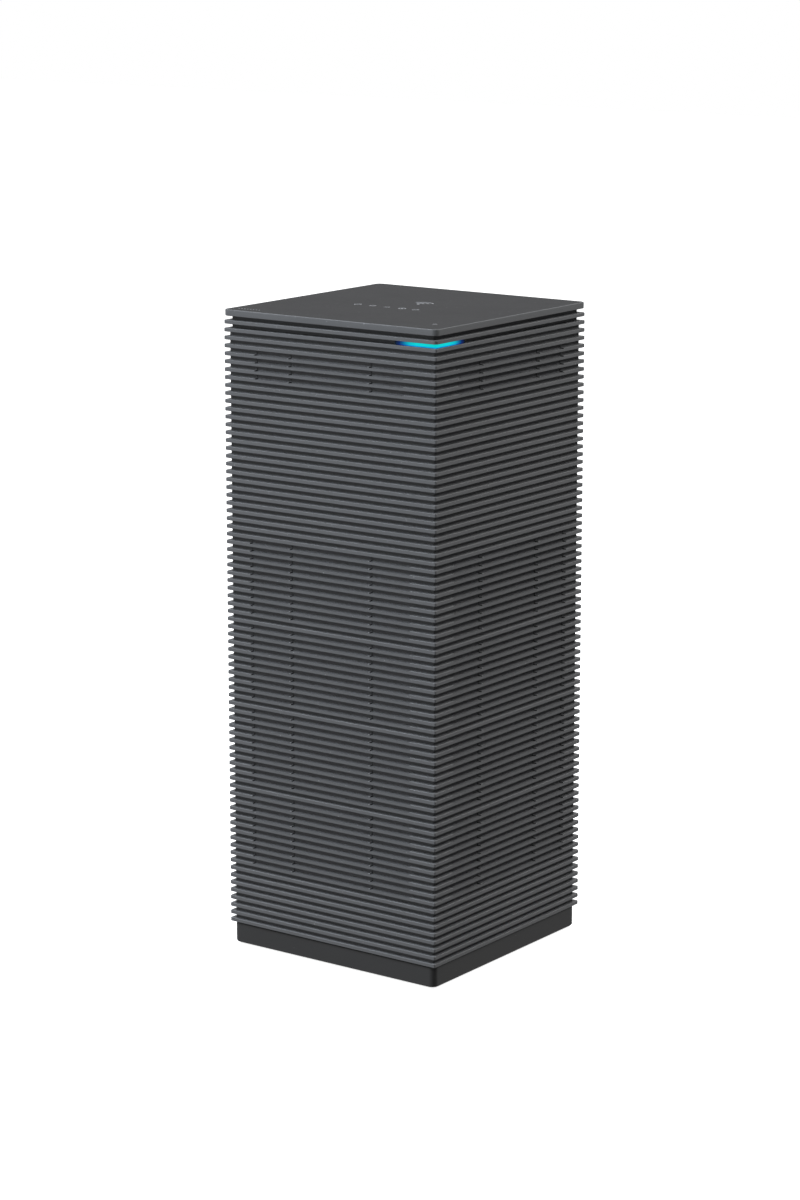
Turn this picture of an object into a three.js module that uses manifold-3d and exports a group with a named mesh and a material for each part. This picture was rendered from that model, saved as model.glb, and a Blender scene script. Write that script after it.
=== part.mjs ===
// Mesh wifi node: a square ribbed tower on a low plinth, with a status light in the corner of its second
// groove and its sockets and buttons on a panel low on the back. Millimetres, +Z up, the front faces -Y, and
// the origin is in the middle of the underside.
import * as THREE from "three";
import { mergeVertices } from "three/addons/utils/BufferGeometryUtils.js";
import Module from "manifold-3d";

// Overall size
const BODY_WIDTH = 75;
const BODY_DEPTH = 75;
const BODY_HEIGHT = 190;

// Fits shared by every piece
const SLIP = 0.15; // per side, where one piece slides into another
const SEAT = 0.1; // where one piece rests on another
const ROOM = 0.3; // air beside pieces that only stand next to each other

// Ribbed casing: insets are measured from the overall plan
const FIN_COUNT = 79;
const GROOVE_HEIGHT = 1.2;
const GROOVE_DEPTH = 1.2;
const FIN_INSET = 0.13;
const FIN_CORNER = 0.8;
const WALL = 1.5;
const NECK_INSET = 1.65;
const TOP_PLATE_THICKNESS = 1.9;
const TOP_CORNER = 1.2;

// Air slots in the grooves, as the first and last groove of each block and the slots' half length
const VENT_HEIGHT = 1.37;
const VENT_DROP = 0.27; // how far a slot bites into the top of the fin below it
const UPPER_VENTS = { first: 5, last: 8, half: 26.2 };
const LOWER_VENTS = [
  { first: 29, last: 38, half: 28.5 },
  { first: 40, last: 49, half: 28.5 },
  { first: 51, last: 60, half: 28.5 },
  { first: 62, last: 71, half: 28.5 },
];
const MULLION_OFFSET = 14.2;
const MULLION_WIDTH = 1.4;
const MULLION_DEPTH = 1.0;
const MULLION_GAP = 0.25;

// Plinth, foot pad and ballast
const PLINTH_HEIGHT = 7;
const PLINTH_INSET = 0.9;
const PLINTH_CORNER = 1.8;
const PLINTH_SHADOW_GAP = 0.3;
const PLINTH_RIM = 3;
const PLINTH_FLOOR = 2;
const PAD_THICKNESS = 1.6;
const PAD_PROUD = 0.5;
const SPIGOT_WALL = 1.6;
const SPIGOT_HEIGHT = 5;
const BALLAST_THICKNESS = 4;
const BALLAST_MARGIN = 13.5;

// Screws that clamp plinth, chassis and casing together
const BASE_SCREW_INSET = 7;
const BASE_SCREW_RADIUS = 1.3;
const BASE_SCREW_HEAD_RADIUS = 2.5;
const BASE_SCREW_HEAD = 1.3;
const BASE_SCREW_TIP_COVER = 3.5; // casing post left above the screw's tip
const SCREW_POST_RADIUS = 3.6;
const CASING_POST_ROOM = 0.9; // air between the post and the back panel's lip
const CASING_POST_SIDE = 7.9;

// Top cap, status light and its board
const CAP_SKIRT_ROOM = 0.5;
const CAP_SKIRT_WALL = 1.6;
const TOP_BOSS_HALF = 20;
const TOP_BOSS_HEIGHT = 0.8;
const PIPE_INSET = 0.5;
const PIPE_LEG = 14;
const PIPE_WIDTH = 7.5;
const LED_SIZE = 2.4;
const LED_HEIGHT = 1;
const LED_BOARD_SIDE = 13;
const LED_BOARD_THICKNESS = 1;
const LED_PEG_RADIUS = 0.9;

// Chassis
const CHASSIS_FLOOR = 2.2;
const CHASSIS_RAIL_WIDTH = 4.5;
const CHASSIS_RAIL_DEPTH = 8;
const CHASSIS_DECK = 2;
const CHASSIS_DECK_DROP = 12.6;
const CHASSIS_WINDOW = 20;
const CHASSIS_BAR = 5;

// Main board: stands upright, parts for the back panel behind it and the heat sink in front of it
const BOARD_HEIGHT = 116;
const BOARD_THICKNESS = 1.6;
const BOARD_FACE_FROM_BACK = 19.9;
const BOARD_LIFT = 3.5;
const BOARD_SCREW_RADIUS = 1.2;
const BOARD_SCREW_HEAD_RADIUS = 2.4;
const BOARD_SCREW_HEAD = 1.5;
const BOARD_SCREW_BITE = 5.5;
const BOARD_SCREW_EDGE = 5;

// Parts soldered to the main board; rise is counted from the board's lower edge
const PROCESSOR = { x: -6, rise: 34, width: 17, height: 17, depth: 1.2 };
const PROCESSOR_PAD = { x: -6, rise: 34, width: 18, height: 18 };
const LOWER_CAN = { x: 4, rise: 57, width: 27, height: 18, depth: 1.6 };
const UPPER_CAN = { x: -2, rise: 80, width: 30, height: 20, depth: 1.6 };
const RADIO_PAD = { x: -2, rise: 80, width: 22, height: 14 };
const SUPPLY_RISE = 24; // supply parts and memory, above the row of buttons
const MEMORY = { x: 10, width: 13, height: 9, depth: 1.1 };
const TRANSFORMER = { x: 9, width: 17, height: 6, depth: 4 };
const INDUCTOR = { x: -8, width: 9, height: 9, depth: 4 };
const CAPACITOR = { x: -19, radius: 4, depth: 12 };

// Heat sink
const SINK_WIDTH = 48;
const SINK_HEIGHT = 74;
const SINK_BASE = 3;
const SINK_FIN_DEPTH = 14;
const SINK_FIN_THICKNESS = 1.4;
const SINK_FIN_COUNT = 9;
const SINK_STANDOFF = 2.4;
const SINK_BOTTOM = 20;
const SINK_BOSS_RADIUS = 2.6;
const SINK_SCREW_X = 20.5;
const SINK_SCREW_EDGE = 4;

// Back panel
const PANEL_FIN_BELOW = 70;
const PANEL_LEAST_HEIGHT = 39;
const PANEL_SIDE_MARGIN = 9;
const PANEL_INSET = 1.5;
const PANEL_THICKNESS = 2.7;
const PANEL_LIP = 1.9;

// Sockets and buttons on the back panel
const PORT_PITCH = 17.6;
const PORT_WIDTH = 16;
const PORT_HEIGHT = 13.6;
const PORT_RISE = 9.6;
const PLUG_WIDTH = 11.9;
const PLUG_HEIGHT = 6.9;
const PLUG_DEPTH = 13;
const LATCH_WIDTH = 6.2;
const LATCH_HEIGHT = 1.8;
const SOCKET_RECESS = 0.2;
const CONTROL_RISE = 29;
const JACK_X = -17.6;
const JACK_SIDE = 9.8;
const JACK_BORE_RADIUS = 3.2;
const JACK_BORE_DEPTH = 9.5;
const JACK_PIN_RADIUS = 1;
const JACK_PIN_RECESS = 1.4;
const JACK_PIN_ROOT = 6;
const POWER_BUTTON = { x: -2, radius: 3.8, travel: 1.0, proud: 1.1, body: 9 };
const SYNC_BUTTON = { x: 11.5, radius: 2.5, travel: 0.6, proud: 0.6, body: 7 };
const RESET_BUTTON = { x: 21, radius: 0.9, travel: 0.4, proud: -1.0, body: 5.4 };
const BUTTON_FLANGE = 1.1;
const BUTTON_FLANGE_HEIGHT = 1.1;
const BUTTON_STEM_SHARE = 0.42;
const SWITCH_HEIGHT = 10.5;
const SWITCH_BORE_DEPTH = 4;
const STEM_OVERLAP = 2.5;

// Antennas hang in the chassis deck, one near each corner
const ANTENNA_WIDTH = 11;
const ANTENNA_LENGTH = 36;
const ANTENNA_THICKNESS = 0.8;
const ANTENNA_HEAD_WIDTH = 14;
const ANTENNA_HEAD = 1.6;
const ANTENNA_X = 19;
const ANTENNA_INSET = 9.5;
const LEAD_RADIUS = 0.6;
const RIBBON_WIDTH = 4;
const RIBBON_THICKNESS = 0.5;

// Heights worked out from the sizes above
const RIB_TOP = BODY_HEIGHT - TOP_PLATE_THICKNESS;
const FIN_PITCH = (RIB_TOP - PLINTH_HEIGHT) / FIN_COUNT;
const finTop = (fin) => RIB_TOP - GROOVE_HEIGHT - (fin - 1) * FIN_PITCH;
const finBottom = (fin) => RIB_TOP - fin * FIN_PITCH;
const PLINTH_TOP = PLINTH_HEIGHT - PLINTH_SHADOW_GAP;
const PLINTH_FLOOR_BOTTOM = PAD_THICKNESS + SEAT;
const PLINTH_FLOOR_TOP = PLINTH_FLOOR_BOTTOM + PLINTH_FLOOR;
const SPIGOT_TOP = PLINTH_HEIGHT + SPIGOT_HEIGHT;
const CHASSIS_BOTTOM = SPIGOT_TOP + SEAT;
const CHASSIS_FLOOR_TOP = CHASSIS_BOTTOM + CHASSIS_FLOOR;
const CASING_POST_BOTTOM = CHASSIS_FLOOR_TOP + SEAT;
const CAP_BOTTOM = finTop(2) + SEAT;
const CHASSIS_DECK_TOP = finTop(2) - CHASSIS_DECK_DROP + CHASSIS_DECK;
const CHASSIS_DECK_BOTTOM = CHASSIS_DECK_TOP - CHASSIS_DECK;
const BOARD_BOTTOM = CHASSIS_FLOOR_TOP + BOARD_LIFT;
const BOARD_TOP = BOARD_BOTTOM + BOARD_HEIGHT;
const LED_TOP = finTop(2) - SEAT;
const PANEL_BOTTOM = finTop(PANEL_FIN_BELOW);
const PANEL_FIN_ABOVE = Math.floor((RIB_TOP - PANEL_BOTTOM - PANEL_LEAST_HEIGHT) / FIN_PITCH);
const PANEL_TOP = finBottom(PANEL_FIN_ABOVE);
const CASING_POST_TOP = PANEL_BOTTOM - PANEL_LIP - CASING_POST_ROOM;
const BASE_SCREW_TIP = CASING_POST_TOP - BASE_SCREW_TIP_COVER;
const PORT_Z = PANEL_BOTTOM + PORT_RISE;
const CONTROL_Z = PANEL_BOTTOM + CONTROL_RISE;
const BETWEEN_ROWS_Z = (PORT_Z + PORT_HEIGHT / 2 + CONTROL_Z - JACK_SIDE / 2) / 2;
const SUPPLY_Z = CONTROL_Z + SUPPLY_RISE;

// Half sizes across X and Y for a plan that is inset from the overall one
const plan = (inset) => ({ x: BODY_WIDTH / 2 - inset, y: BODY_DEPTH / 2 - inset });
const FLOOR_INSET = FIN_INSET + GROOVE_DEPTH;
const INNER_INSET = FLOOR_INSET + WALL;
const INNER = plan(INNER_INSET);
const SPIGOT = plan(INNER_INSET + SLIP);
const SCREW_PLAN = plan(BASE_SCREW_INSET);
const CHASSIS_PLAN = plan(INNER_INSET + MULLION_DEPTH + 2 * ROOM);

// Depths along Y, counted from the back
const PANEL_FACE = BODY_DEPTH / 2 - PANEL_INSET;
const PANEL_BACK = PANEL_FACE - PANEL_THICKNESS;
const SOCKET_FACE = PANEL_FACE - SOCKET_RECESS;
const BOARD_REAR = BODY_DEPTH / 2 - BOARD_FACE_FROM_BACK;
const BOARD_FRONT = BOARD_REAR - BOARD_THICKNESS;
const PART_ROOT = BOARD_REAR + SEAT;

const wasm = await Module();
wasm.setup();

// A closed geometry as a solid that can be cut and joined
function solidOf(geometry) {
  const bare = geometry.clone();
  bare.deleteAttribute("normal");
  bare.deleteAttribute("uv");
  const merged = mergeVertices(bare, 1e-4);
  return new wasm.Manifold(new wasm.Mesh({
    numProp: 3,
    vertProperties: new Float32Array(merged.attributes.position.array),
    triVerts: new Uint32Array(merged.index.array),
  }));
}

// A solid as a flat-shaded geometry
function geometryOf(solid) {
  const mesh = solid.getMesh();
  const geometry = new THREE.BufferGeometry();
  geometry.setAttribute("position", new THREE.BufferAttribute(mesh.vertProperties, 3));
  geometry.setIndex(new THREE.BufferAttribute(mesh.triVerts, 1));
  const flat = geometry.toNonIndexed();
  flat.computeVertexNormals();
  return flat;
}

function block([x0, y0, z0], [x1, y1, z1]) {
  const geometry = new THREE.BoxGeometry(x1 - x0, y1 - y0, z1 - z0);
  geometry.translate((x0 + x1) / 2, (y0 + y1) / 2, (z0 + z1) / 2);
  return solidOf(geometry);
}

// A block centred on X and Z, standing along Y from y0 to y1
function chip(x, z, width, height, y0, y1) {
  return block([x - width / 2, y0, z - height / 2], [x + width / 2, y1, z + height / 2]);
}

function rodZ(x, y, radius, z0, z1, sides = 12) {
  const geometry = new THREE.CylinderGeometry(radius, radius, z1 - z0, sides);
  geometry.rotateX(Math.PI / 2);
  geometry.translate(x, y, (z0 + z1) / 2);
  return solidOf(geometry);
}

function rodY(x, z, radius, y0, y1, sides = 12) {
  const geometry = new THREE.CylinderGeometry(radius, radius, y1 - y0, sides);
  geometry.translate(x, (y0 + y1) / 2, z);
  return solidOf(geometry);
}

// A straight prism from an outline of [x, y] points
function prism(points, z0, z1) {
  const shape = new THREE.Shape(points.map(([x, y]) => new THREE.Vector2(x, y)));
  const geometry = new THREE.ExtrudeGeometry(shape, { depth: z1 - z0, bevelEnabled: false });
  geometry.translate(0, 0, z0);
  return solidOf(geometry);
}

const SIGNS = [[1, 1], [-1, 1], [-1, -1], [1, -1]];
const fourCorners = (half) => SIGNS.map(([signX, signY]) => [signX * half.x, signY * half.y]);

// A rectangular plate from z0 to z1, its upright edges cut by a corner of that many steps
function plate(half, z0, z1, corner = 0, steps = 1) {
  const points = [];
  const centres = fourCorners({ x: half.x - corner, y: half.y - corner });
  centres.forEach(([x, y], quarter) => {
    for (let step = 0; step <= (corner > 0 ? steps : 0); step += 1) {
      const angle = ((quarter + step / steps) * Math.PI) / 2;
      points.push([x + corner * Math.cos(angle), y + corner * Math.sin(angle)]);
    }
  });
  return prism(points, z0, z1);
}

// A round piece turned about the Y direction, from [radius, y] points listed from its low end
function turnedY(points, x, z, sides = 16) {
  const profile = points.map(([radius, y]) => new THREE.Vector2(radius, y));
  const geometry = new THREE.LatheGeometry(profile, sides);
  geometry.translate(x, 0, z);
  return solidOf(geometry);
}

// Materials
const material = (color, roughness, metalness = 0, extra = {}) =>
  new THREE.MeshStandardMaterial({ color, roughness, metalness, ...extra });
const MATERIALS = {
  casing: material(0x55575b, 0.55),
  plinth: material(0x3c3d40, 0.6),
  panel: material(0x2c2d2f, 0.55),
  light: material(0x19d6d6, 0.3, 0, { emissive: 0x12b8b8, transparent: true, opacity: 0.85 }),
  rubber: material(0x1d1d1e, 0.9),
  frame: material(0x9a9c9e, 0.6),
  board: material(0x14532d, 0.5),
  chip: material(0x151618, 0.45),
  shield: material(0xb9bcc0, 0.35, 1),
  aluminium: material(0xc3c6ca, 0.4, 1),
  steel: material(0x8d9094, 0.35, 1),
  pad: material(0x8fa3b8, 0.85),
  socket: material(0x1a1b1d, 0.5),
  button: material(0x6a6c70, 0.5),
  brass: material(0xc9a24a, 0.3, 1),
  lead: material(0x3a3b3e, 0.6),
  ribbon: material(0xd9dadb, 0.6),
  led: material(0xf2f4e8, 0.3),
};

const tower = new THREE.Group();

function add(name, solid, slot) {
  const mesh = new THREE.Mesh(geometryOf(solid), MATERIALS[slot]);
  mesh.name = name;
  tower.add(mesh);
}

// Casing: a square tube ringed by fins, slotted for air, open low on the back for the panel
function casingSleeve() {
  const bottom = finBottom(FIN_COUNT);
  let sleeve = plate(plan(FLOOR_INSET), bottom, finTop(2));
  for (let fin = 2; fin <= FIN_COUNT; fin += 1) {
    sleeve = sleeve.add(plate(plan(FIN_INSET), finBottom(fin), finTop(fin), FIN_CORNER));
  }
  sleeve = sleeve.subtract(plate(INNER, bottom - 1, finTop(2) + 1));
  for (const vents of [UPPER_VENTS, ...LOWER_VENTS]) sleeve = cutVents(sleeve, vents);
  sleeve = addMullions(sleeve);
  for (const corner of fourCorners(SCREW_PLAN)) sleeve = addCasingPost(sleeve, corner);
  return sleeve.subtract(panelOpening());
}

// Slots in the grooves of one block, on the front and both sides, and on the back above the panel
function cutVents(sleeve, vents) {
  const outer = plan(-1);
  let cut = sleeve;
  for (let groove = vents.first; groove <= vents.last; groove += 1) {
    const low = finTop(groove) - VENT_DROP;
    const high = low + VENT_HEIGHT;
    const back = abovePanel(vents) ? outer.y : 0;
    cut = cut.subtract(block([-vents.half, -outer.y, low], [vents.half, back, high]));
    cut = cut.subtract(block([-outer.x, -vents.half, low], [outer.x, vents.half, high]));
  }
  return cut;
}

const abovePanel = (vents) => finTop(vents.last + 1) > PANEL_TOP + PANEL_LIP;

// Upright bars just behind the slots of each wall, bridged to it at the closed grooves between the blocks
function addMullions(sleeve) {
  let barred = sleeve;
  for (const turns of [0, 1, 2, 3]) {
    const lower = turns === 2 ? LOWER_VENTS.filter(abovePanel) : LOWER_VENTS;
    for (const middle of [-MULLION_OFFSET, MULLION_OFFSET]) {
      barred = barred.add(mullionBar([UPPER_VENTS], turns, middle)).add(mullionBar(lower, turns, middle));
    }
  }
  return barred;
}

// One bar and its bridges, made for the front wall and turned to the wall that it belongs to
function mullionBar(blocks, turns, middle) {
  const reach = turns % 2 === 0 ? INNER.y : INNER.x;
  const [near, far] = [middle - MULLION_WIDTH / 2, middle + MULLION_WIDTH / 2];
  const closed = [blocks[0].first - 1, ...blocks.map((vents) => vents.last + 1)];
  const tip = -reach + MULLION_DEPTH;
  let bar = block([near, -reach + MULLION_GAP, finTop(closed.at(-1))], [far, tip, finBottom(closed[0] - 1)]);
  for (const groove of closed) {
    bar = bar.add(block([near, -reach - WALL / 4, finTop(groove)], [far, tip, finBottom(groove - 1)]));
  }
  return bar.rotate([0, 0, 90 * turns]);
}

// A block in a corner of the casing that a base screw bites into
function addCasingPost(sleeve, [x, y]) {
  const bottom = CASING_POST_BOTTOM;
  const wall = { x: Math.sign(x) * (INNER.x + WALL / 4), y: Math.sign(y) * (INNER.y + WALL / 4) };
  const tip = { x: wall.x - Math.sign(x) * CASING_POST_SIDE, y: wall.y - Math.sign(y) * CASING_POST_SIDE };
  const low = [Math.min(wall.x, tip.x), Math.min(wall.y, tip.y), bottom];
  const high = [Math.max(wall.x, tip.x), Math.max(wall.y, tip.y), CASING_POST_TOP];
  const bore = rodZ(x, y, BASE_SCREW_RADIUS + SLIP, bottom - 1, BASE_SCREW_TIP + 1);
  return sleeve.add(block(low, high)).subtract(bore);
}

// The space that the back panel fills
function panelOpening() {
  const half = BODY_WIDTH / 2 - PANEL_SIDE_MARGIN;
  return block(
    [-half, INNER.y - WALL, PANEL_BOTTOM],
    [half, BODY_DEPTH, PANEL_TOP],
  );
}

// Top plate: the slab on top, with a boss that drops into the cap
function topPlate() {
  const boss = { x: TOP_BOSS_HALF, y: TOP_BOSS_HALF };
  const slab = plate(plan(0), RIB_TOP, BODY_HEIGHT, TOP_CORNER, 3);
  return slab.add(plate(boss, RIB_TOP - TOP_BOSS_HEIGHT, RIB_TOP + 1));
}

// Top cap: deck, first fin and the skirt that goes down inside the casing
function topCap() {
  const deckBottom = finBottom(1);
  const skirtBottom = finBottom(UPPER_VENTS.first - 2) + CAP_SKIRT_ROOM;
  const inner = plan(INNER_INSET + SLIP + CAP_SKIRT_WALL);
  const recess = { x: TOP_BOSS_HALF + SLIP, y: TOP_BOSS_HALF + SLIP };
  let cap = plate(plan(NECK_INSET), CAP_BOTTOM, RIB_TOP - SEAT);
  cap = cap.add(plate(plan(0), deckBottom, finTop(1), FIN_CORNER));
  cap = cap.add(plate(SPIGOT, skirtBottom, CAP_BOTTOM + 1));
  cap = cap.subtract(plate(inner, skirtBottom - 1, deckBottom));
  cap = cap.subtract(plate(recess, RIB_TOP - TOP_BOSS_HEIGHT - SEAT, RIB_TOP));
  cap = cap.subtract(lightPipe(SLIP, CAP_BOTTOM - 1));
  for (const [x, y] of ledBoardPegs()) {
    cap = cap.add(rodZ(x, y, LED_PEG_RADIUS, LED_TOP - 2 * LED_BOARD_THICKNESS, deckBottom + 1, 8));
  }
  return cap;
}

// Light pipe: an L that wraps the front right corner in the second groove
function lightPipe(grown = 0, bottom = finTop(2) + SEAT) {
  const outer = plan(PIPE_INSET - 10 * grown);
  const side = plan(PIPE_INSET + PIPE_WIDTH + grown);
  const leg = plan(PIPE_INSET + PIPE_LEG + grown);
  const outline = [
    [leg.x, -outer.y], [outer.x, -outer.y], [outer.x, -leg.y],
    [side.x, -leg.y], [side.x, -side.y], [leg.x, -side.y],
  ];
  return prism(outline, bottom, finBottom(1) - SEAT + grown);
}

// The light board is a square under the cap's deck, with two pegs through it
function ledBoardCorner() {
  const edge = plan(INNER_INSET + SLIP + CAP_SKIRT_WALL + ROOM);
  return { x: edge.x, y: -edge.y };
}

function ledBoardPegs() {
  const corner = ledBoardCorner();
  const [near, far] = [2, LED_BOARD_SIDE - 2];
  return [[corner.x - near, corner.y + far], [corner.x - far, corner.y + far]];
}

function ledBoard() {
  const corner = ledBoardCorner();
  const bottom = LED_TOP - LED_HEIGHT - LED_BOARD_THICKNESS;
  let board = block(
    [corner.x - LED_BOARD_SIDE, corner.y, bottom],
    [corner.x, corner.y + LED_BOARD_SIDE, bottom + LED_BOARD_THICKNESS],
  );
  for (const [x, y] of ledBoardPegs()) {
    board = board.subtract(rodZ(x, y, LED_PEG_RADIUS + SEAT, bottom - 1, LED_TOP, 8));
  }
  return board;
}

function addStatusLeds() {
  const corner = ledBoardCorner();
  const near = LED_SIZE;
  const far = LED_BOARD_SIDE - LED_SIZE;
  const spots = [[near, near], [far, near], [near, far - near]];
  spots.forEach(([alongX, alongY], index) => {
    const [x, y] = [corner.x - alongX, corner.y + alongY];
    const bottom = LED_TOP - LED_HEIGHT + SEAT;
    const led = block(
      [x - LED_SIZE / 2, y - LED_SIZE / 2, bottom],
      [x + LED_SIZE / 2, y + LED_SIZE / 2, LED_TOP],
    );
    add(`status_led_${index + 1}`, led, "led");
  });
}

// Plinth: a tray with a recess for the foot pad below and a spigot that goes up inside the casing
function basePlinth() {
  const recess = plan(PLINTH_INSET + PLINTH_RIM);
  const inner = plan(INNER_INSET + SLIP + SPIGOT_WALL);
  let plinth = plate(plan(PLINTH_INSET), PAD_PROUD, PLINTH_TOP, PLINTH_CORNER, 4);
  plinth = plinth.add(plate(SPIGOT, PLINTH_FLOOR_TOP, SPIGOT_TOP));
  plinth = plinth.subtract(plate(inner, PLINTH_FLOOR_TOP, SPIGOT_TOP + 1));
  for (const [x, y] of fourCorners(SCREW_PLAN)) {
    plinth = plinth.add(rodZ(x, y, SCREW_POST_RADIUS, PLINTH_FLOOR_BOTTOM, SPIGOT_TOP));
  }
  plinth = plinth.subtract(plate(recess, PAD_PROUD - 1, PLINTH_FLOOR_BOTTOM));
  for (const [x, y] of fourCorners(SCREW_PLAN)) {
    plinth = plinth.subtract(rodZ(x, y, BASE_SCREW_RADIUS + SLIP, 0, SPIGOT_TOP + 1));
    plinth = plinth.subtract(
      rodZ(x, y, BASE_SCREW_HEAD_RADIUS + SLIP, 0, PLINTH_FLOOR_BOTTOM + BASE_SCREW_HEAD + SEAT),
    );
  }
  return plinth;
}

function footPad() {
  return plate(plan(PLINTH_INSET + PLINTH_RIM + SLIP), 0, PAD_THICKNESS);
}

function ballastPlate() {
  const bottom = PLINTH_FLOOR_TOP + SEAT;
  return plate(plan(BALLAST_MARGIN), bottom, bottom + BALLAST_THICKNESS);
}

function addBaseScrews() {
  const head = PLINTH_FLOOR_BOTTOM + BASE_SCREW_HEAD;
  fourCorners(SCREW_PLAN).forEach(([x, y], index) => {
    const shank = rodZ(x, y, BASE_SCREW_RADIUS, head - SEAT, BASE_SCREW_TIP, 10);
    const screw = rodZ(x, y, BASE_SCREW_HEAD_RADIUS, PLINTH_FLOOR_BOTTOM, head, 10).add(shank);
    add(`base_screw_${index + 1}`, screw, "steel");
  });
}

// Chassis: a floor, two rails that carry the main board, a bar across them and a deck for the antennas
function chassis() {
  const half = CHASSIS_PLAN;
  const window = { x: CHASSIS_WINDOW, y: CHASSIS_WINDOW };
  const railBack = BOARD_FRONT - SEAT;
  const railFront = railBack - CHASSIS_RAIL_DEPTH;
  let frame = plate(half, CHASSIS_BOTTOM, CHASSIS_FLOOR_TOP);
  frame = frame.add(plate(half, CHASSIS_DECK_BOTTOM, CHASSIS_DECK_TOP));
  frame = frame.subtract(plate(window, CHASSIS_BOTTOM - 1, CHASSIS_DECK_TOP + 1));
  for (const side of [-1, 1]) {
    const outer = side * half.x;
    const inner = outer - side * CHASSIS_RAIL_WIDTH;
    frame = frame.add(block(
      [Math.min(outer, inner), railFront, CHASSIS_BOTTOM],
      [Math.max(outer, inner), railBack, CHASSIS_DECK_TOP],
    ));
  }
  const barBottom = BOARD_BOTTOM + BOARD_HEIGHT - CHASSIS_BAR;
  frame = frame.add(block([-half.x, railFront, barBottom], [half.x, railBack - ROOM, BOARD_TOP]));
  for (const [x, y] of fourCorners(SCREW_PLAN)) {
    frame = frame.subtract(rodZ(x, y, BASE_SCREW_RADIUS + SLIP, CHASSIS_BOTTOM - 1, CHASSIS_FLOOR_TOP + 1));
  }
  for (const [x, z] of boardScrewSpots()) {
    frame = frame.subtract(
      rodY(x, z, BOARD_SCREW_RADIUS + SLIP, BOARD_FRONT - BOARD_SCREW_BITE - 1, BOARD_REAR, 10),
    );
  }
  for (const spot of antennaSpots()) frame = frame.subtract(antennaSlot(spot));
  return frame;
}

// Main board
const BOARD_HALF_WIDTH = CHASSIS_PLAN.x;

function boardScrewSpots() {
  const x = BOARD_HALF_WIDTH - CHASSIS_RAIL_WIDTH / 2;
  const heights = [BOARD_BOTTOM + BOARD_SCREW_EDGE, BOARD_TOP - BOARD_SCREW_EDGE];
  return heights.flatMap((z) => [[-x, z], [x, z]]);
}

function sinkScrewSpots() {
  const high = BOARD_BOTTOM + SINK_BOTTOM + SINK_HEIGHT - SINK_SCREW_EDGE;
  return [[-SINK_SCREW_X, high], [SINK_SCREW_X, BETWEEN_ROWS_Z]];
}

function mainBoard() {
  let board = block(
    [-BOARD_HALF_WIDTH, BOARD_FRONT, BOARD_BOTTOM],
    [BOARD_HALF_WIDTH, BOARD_REAR, BOARD_TOP],
  );
  for (const [x, z] of [...boardScrewSpots(), ...sinkScrewSpots()]) {
    board = board.subtract(rodY(x, z, BOARD_SCREW_RADIUS + SLIP, BOARD_FRONT - 1, BOARD_REAR + 1, 10));
  }
  return board;
}

// A small screw driven towards -Y from the back of the board
function boardScrew(x, z) {
  const head = BOARD_REAR + SEAT;
  const shank = rodY(x, z, BOARD_SCREW_RADIUS, BOARD_FRONT - BOARD_SCREW_BITE, head + SEAT, 8);
  return rodY(x, z, BOARD_SCREW_HEAD_RADIUS, head, head + BOARD_SCREW_HEAD, 10).add(shank);
}

// Chips and cans on the front of the board; depths are measured out from the board
function frontPart({ x, rise, width, height, depth }) {
  return chip(x, BOARD_BOTTOM + rise, width, height, BOARD_FRONT - SEAT - depth, BOARD_FRONT - SEAT);
}

// A thermal pad between a front part and the heat sink
function thermalPad({ x, rise, width, height }, part) {
  const sinkFace = BOARD_FRONT - SINK_STANDOFF;
  const partFace = BOARD_FRONT - SEAT - part.depth;
  return chip(x, BOARD_BOTTOM + rise, width, height, sinkFace + SEAT, partFace - SEAT);
}

// Parts on the back of the board
function rearPart({ x, width, height, depth }, z) {
  return chip(x, z, width, height, PART_ROOT, PART_ROOT + depth);
}

function capacitor() {
  return rodY(CAPACITOR.x, SUPPLY_Z, CAPACITOR.radius, PART_ROOT, PART_ROOT + CAPACITOR.depth);
}

// Heat sink: a comb of upright fins with two standoffs that reach the board
function heatSink() {
  const back = BOARD_FRONT - SINK_STANDOFF;
  const front = back - SINK_BASE;
  const bottom = BOARD_BOTTOM + SINK_BOTTOM;
  const outline = [[-SINK_WIDTH / 2, back], [-SINK_WIDTH / 2, front]];
  const pitch = (SINK_WIDTH - SINK_FIN_THICKNESS) / (SINK_FIN_COUNT - 1);
  for (let fin = 0; fin < SINK_FIN_COUNT; fin += 1) {
    const left = -SINK_WIDTH / 2 + fin * pitch;
    const right = left + SINK_FIN_THICKNESS;
    const tip = front - SINK_FIN_DEPTH;
    if (fin > 0) outline.push([left, front]);
    outline.push([left, tip], [right, tip]);
    if (fin < SINK_FIN_COUNT - 1) outline.push([right, front]);
  }
  outline.push([SINK_WIDTH / 2, back]);
  let sink = prism(outline.reverse(), bottom, bottom + SINK_HEIGHT);
  for (const [x, z] of sinkScrewSpots()) {
    sink = sink.add(rodY(x, z, SINK_BOSS_RADIUS, back - 1, BOARD_FRONT - SEAT, 12));
    sink = sink.subtract(
      rodY(x, z, BOARD_SCREW_RADIUS + SLIP, BOARD_FRONT - BOARD_SCREW_BITE - SEAT, BOARD_REAR, 10),
    );
  }
  return sink;
}

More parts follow.
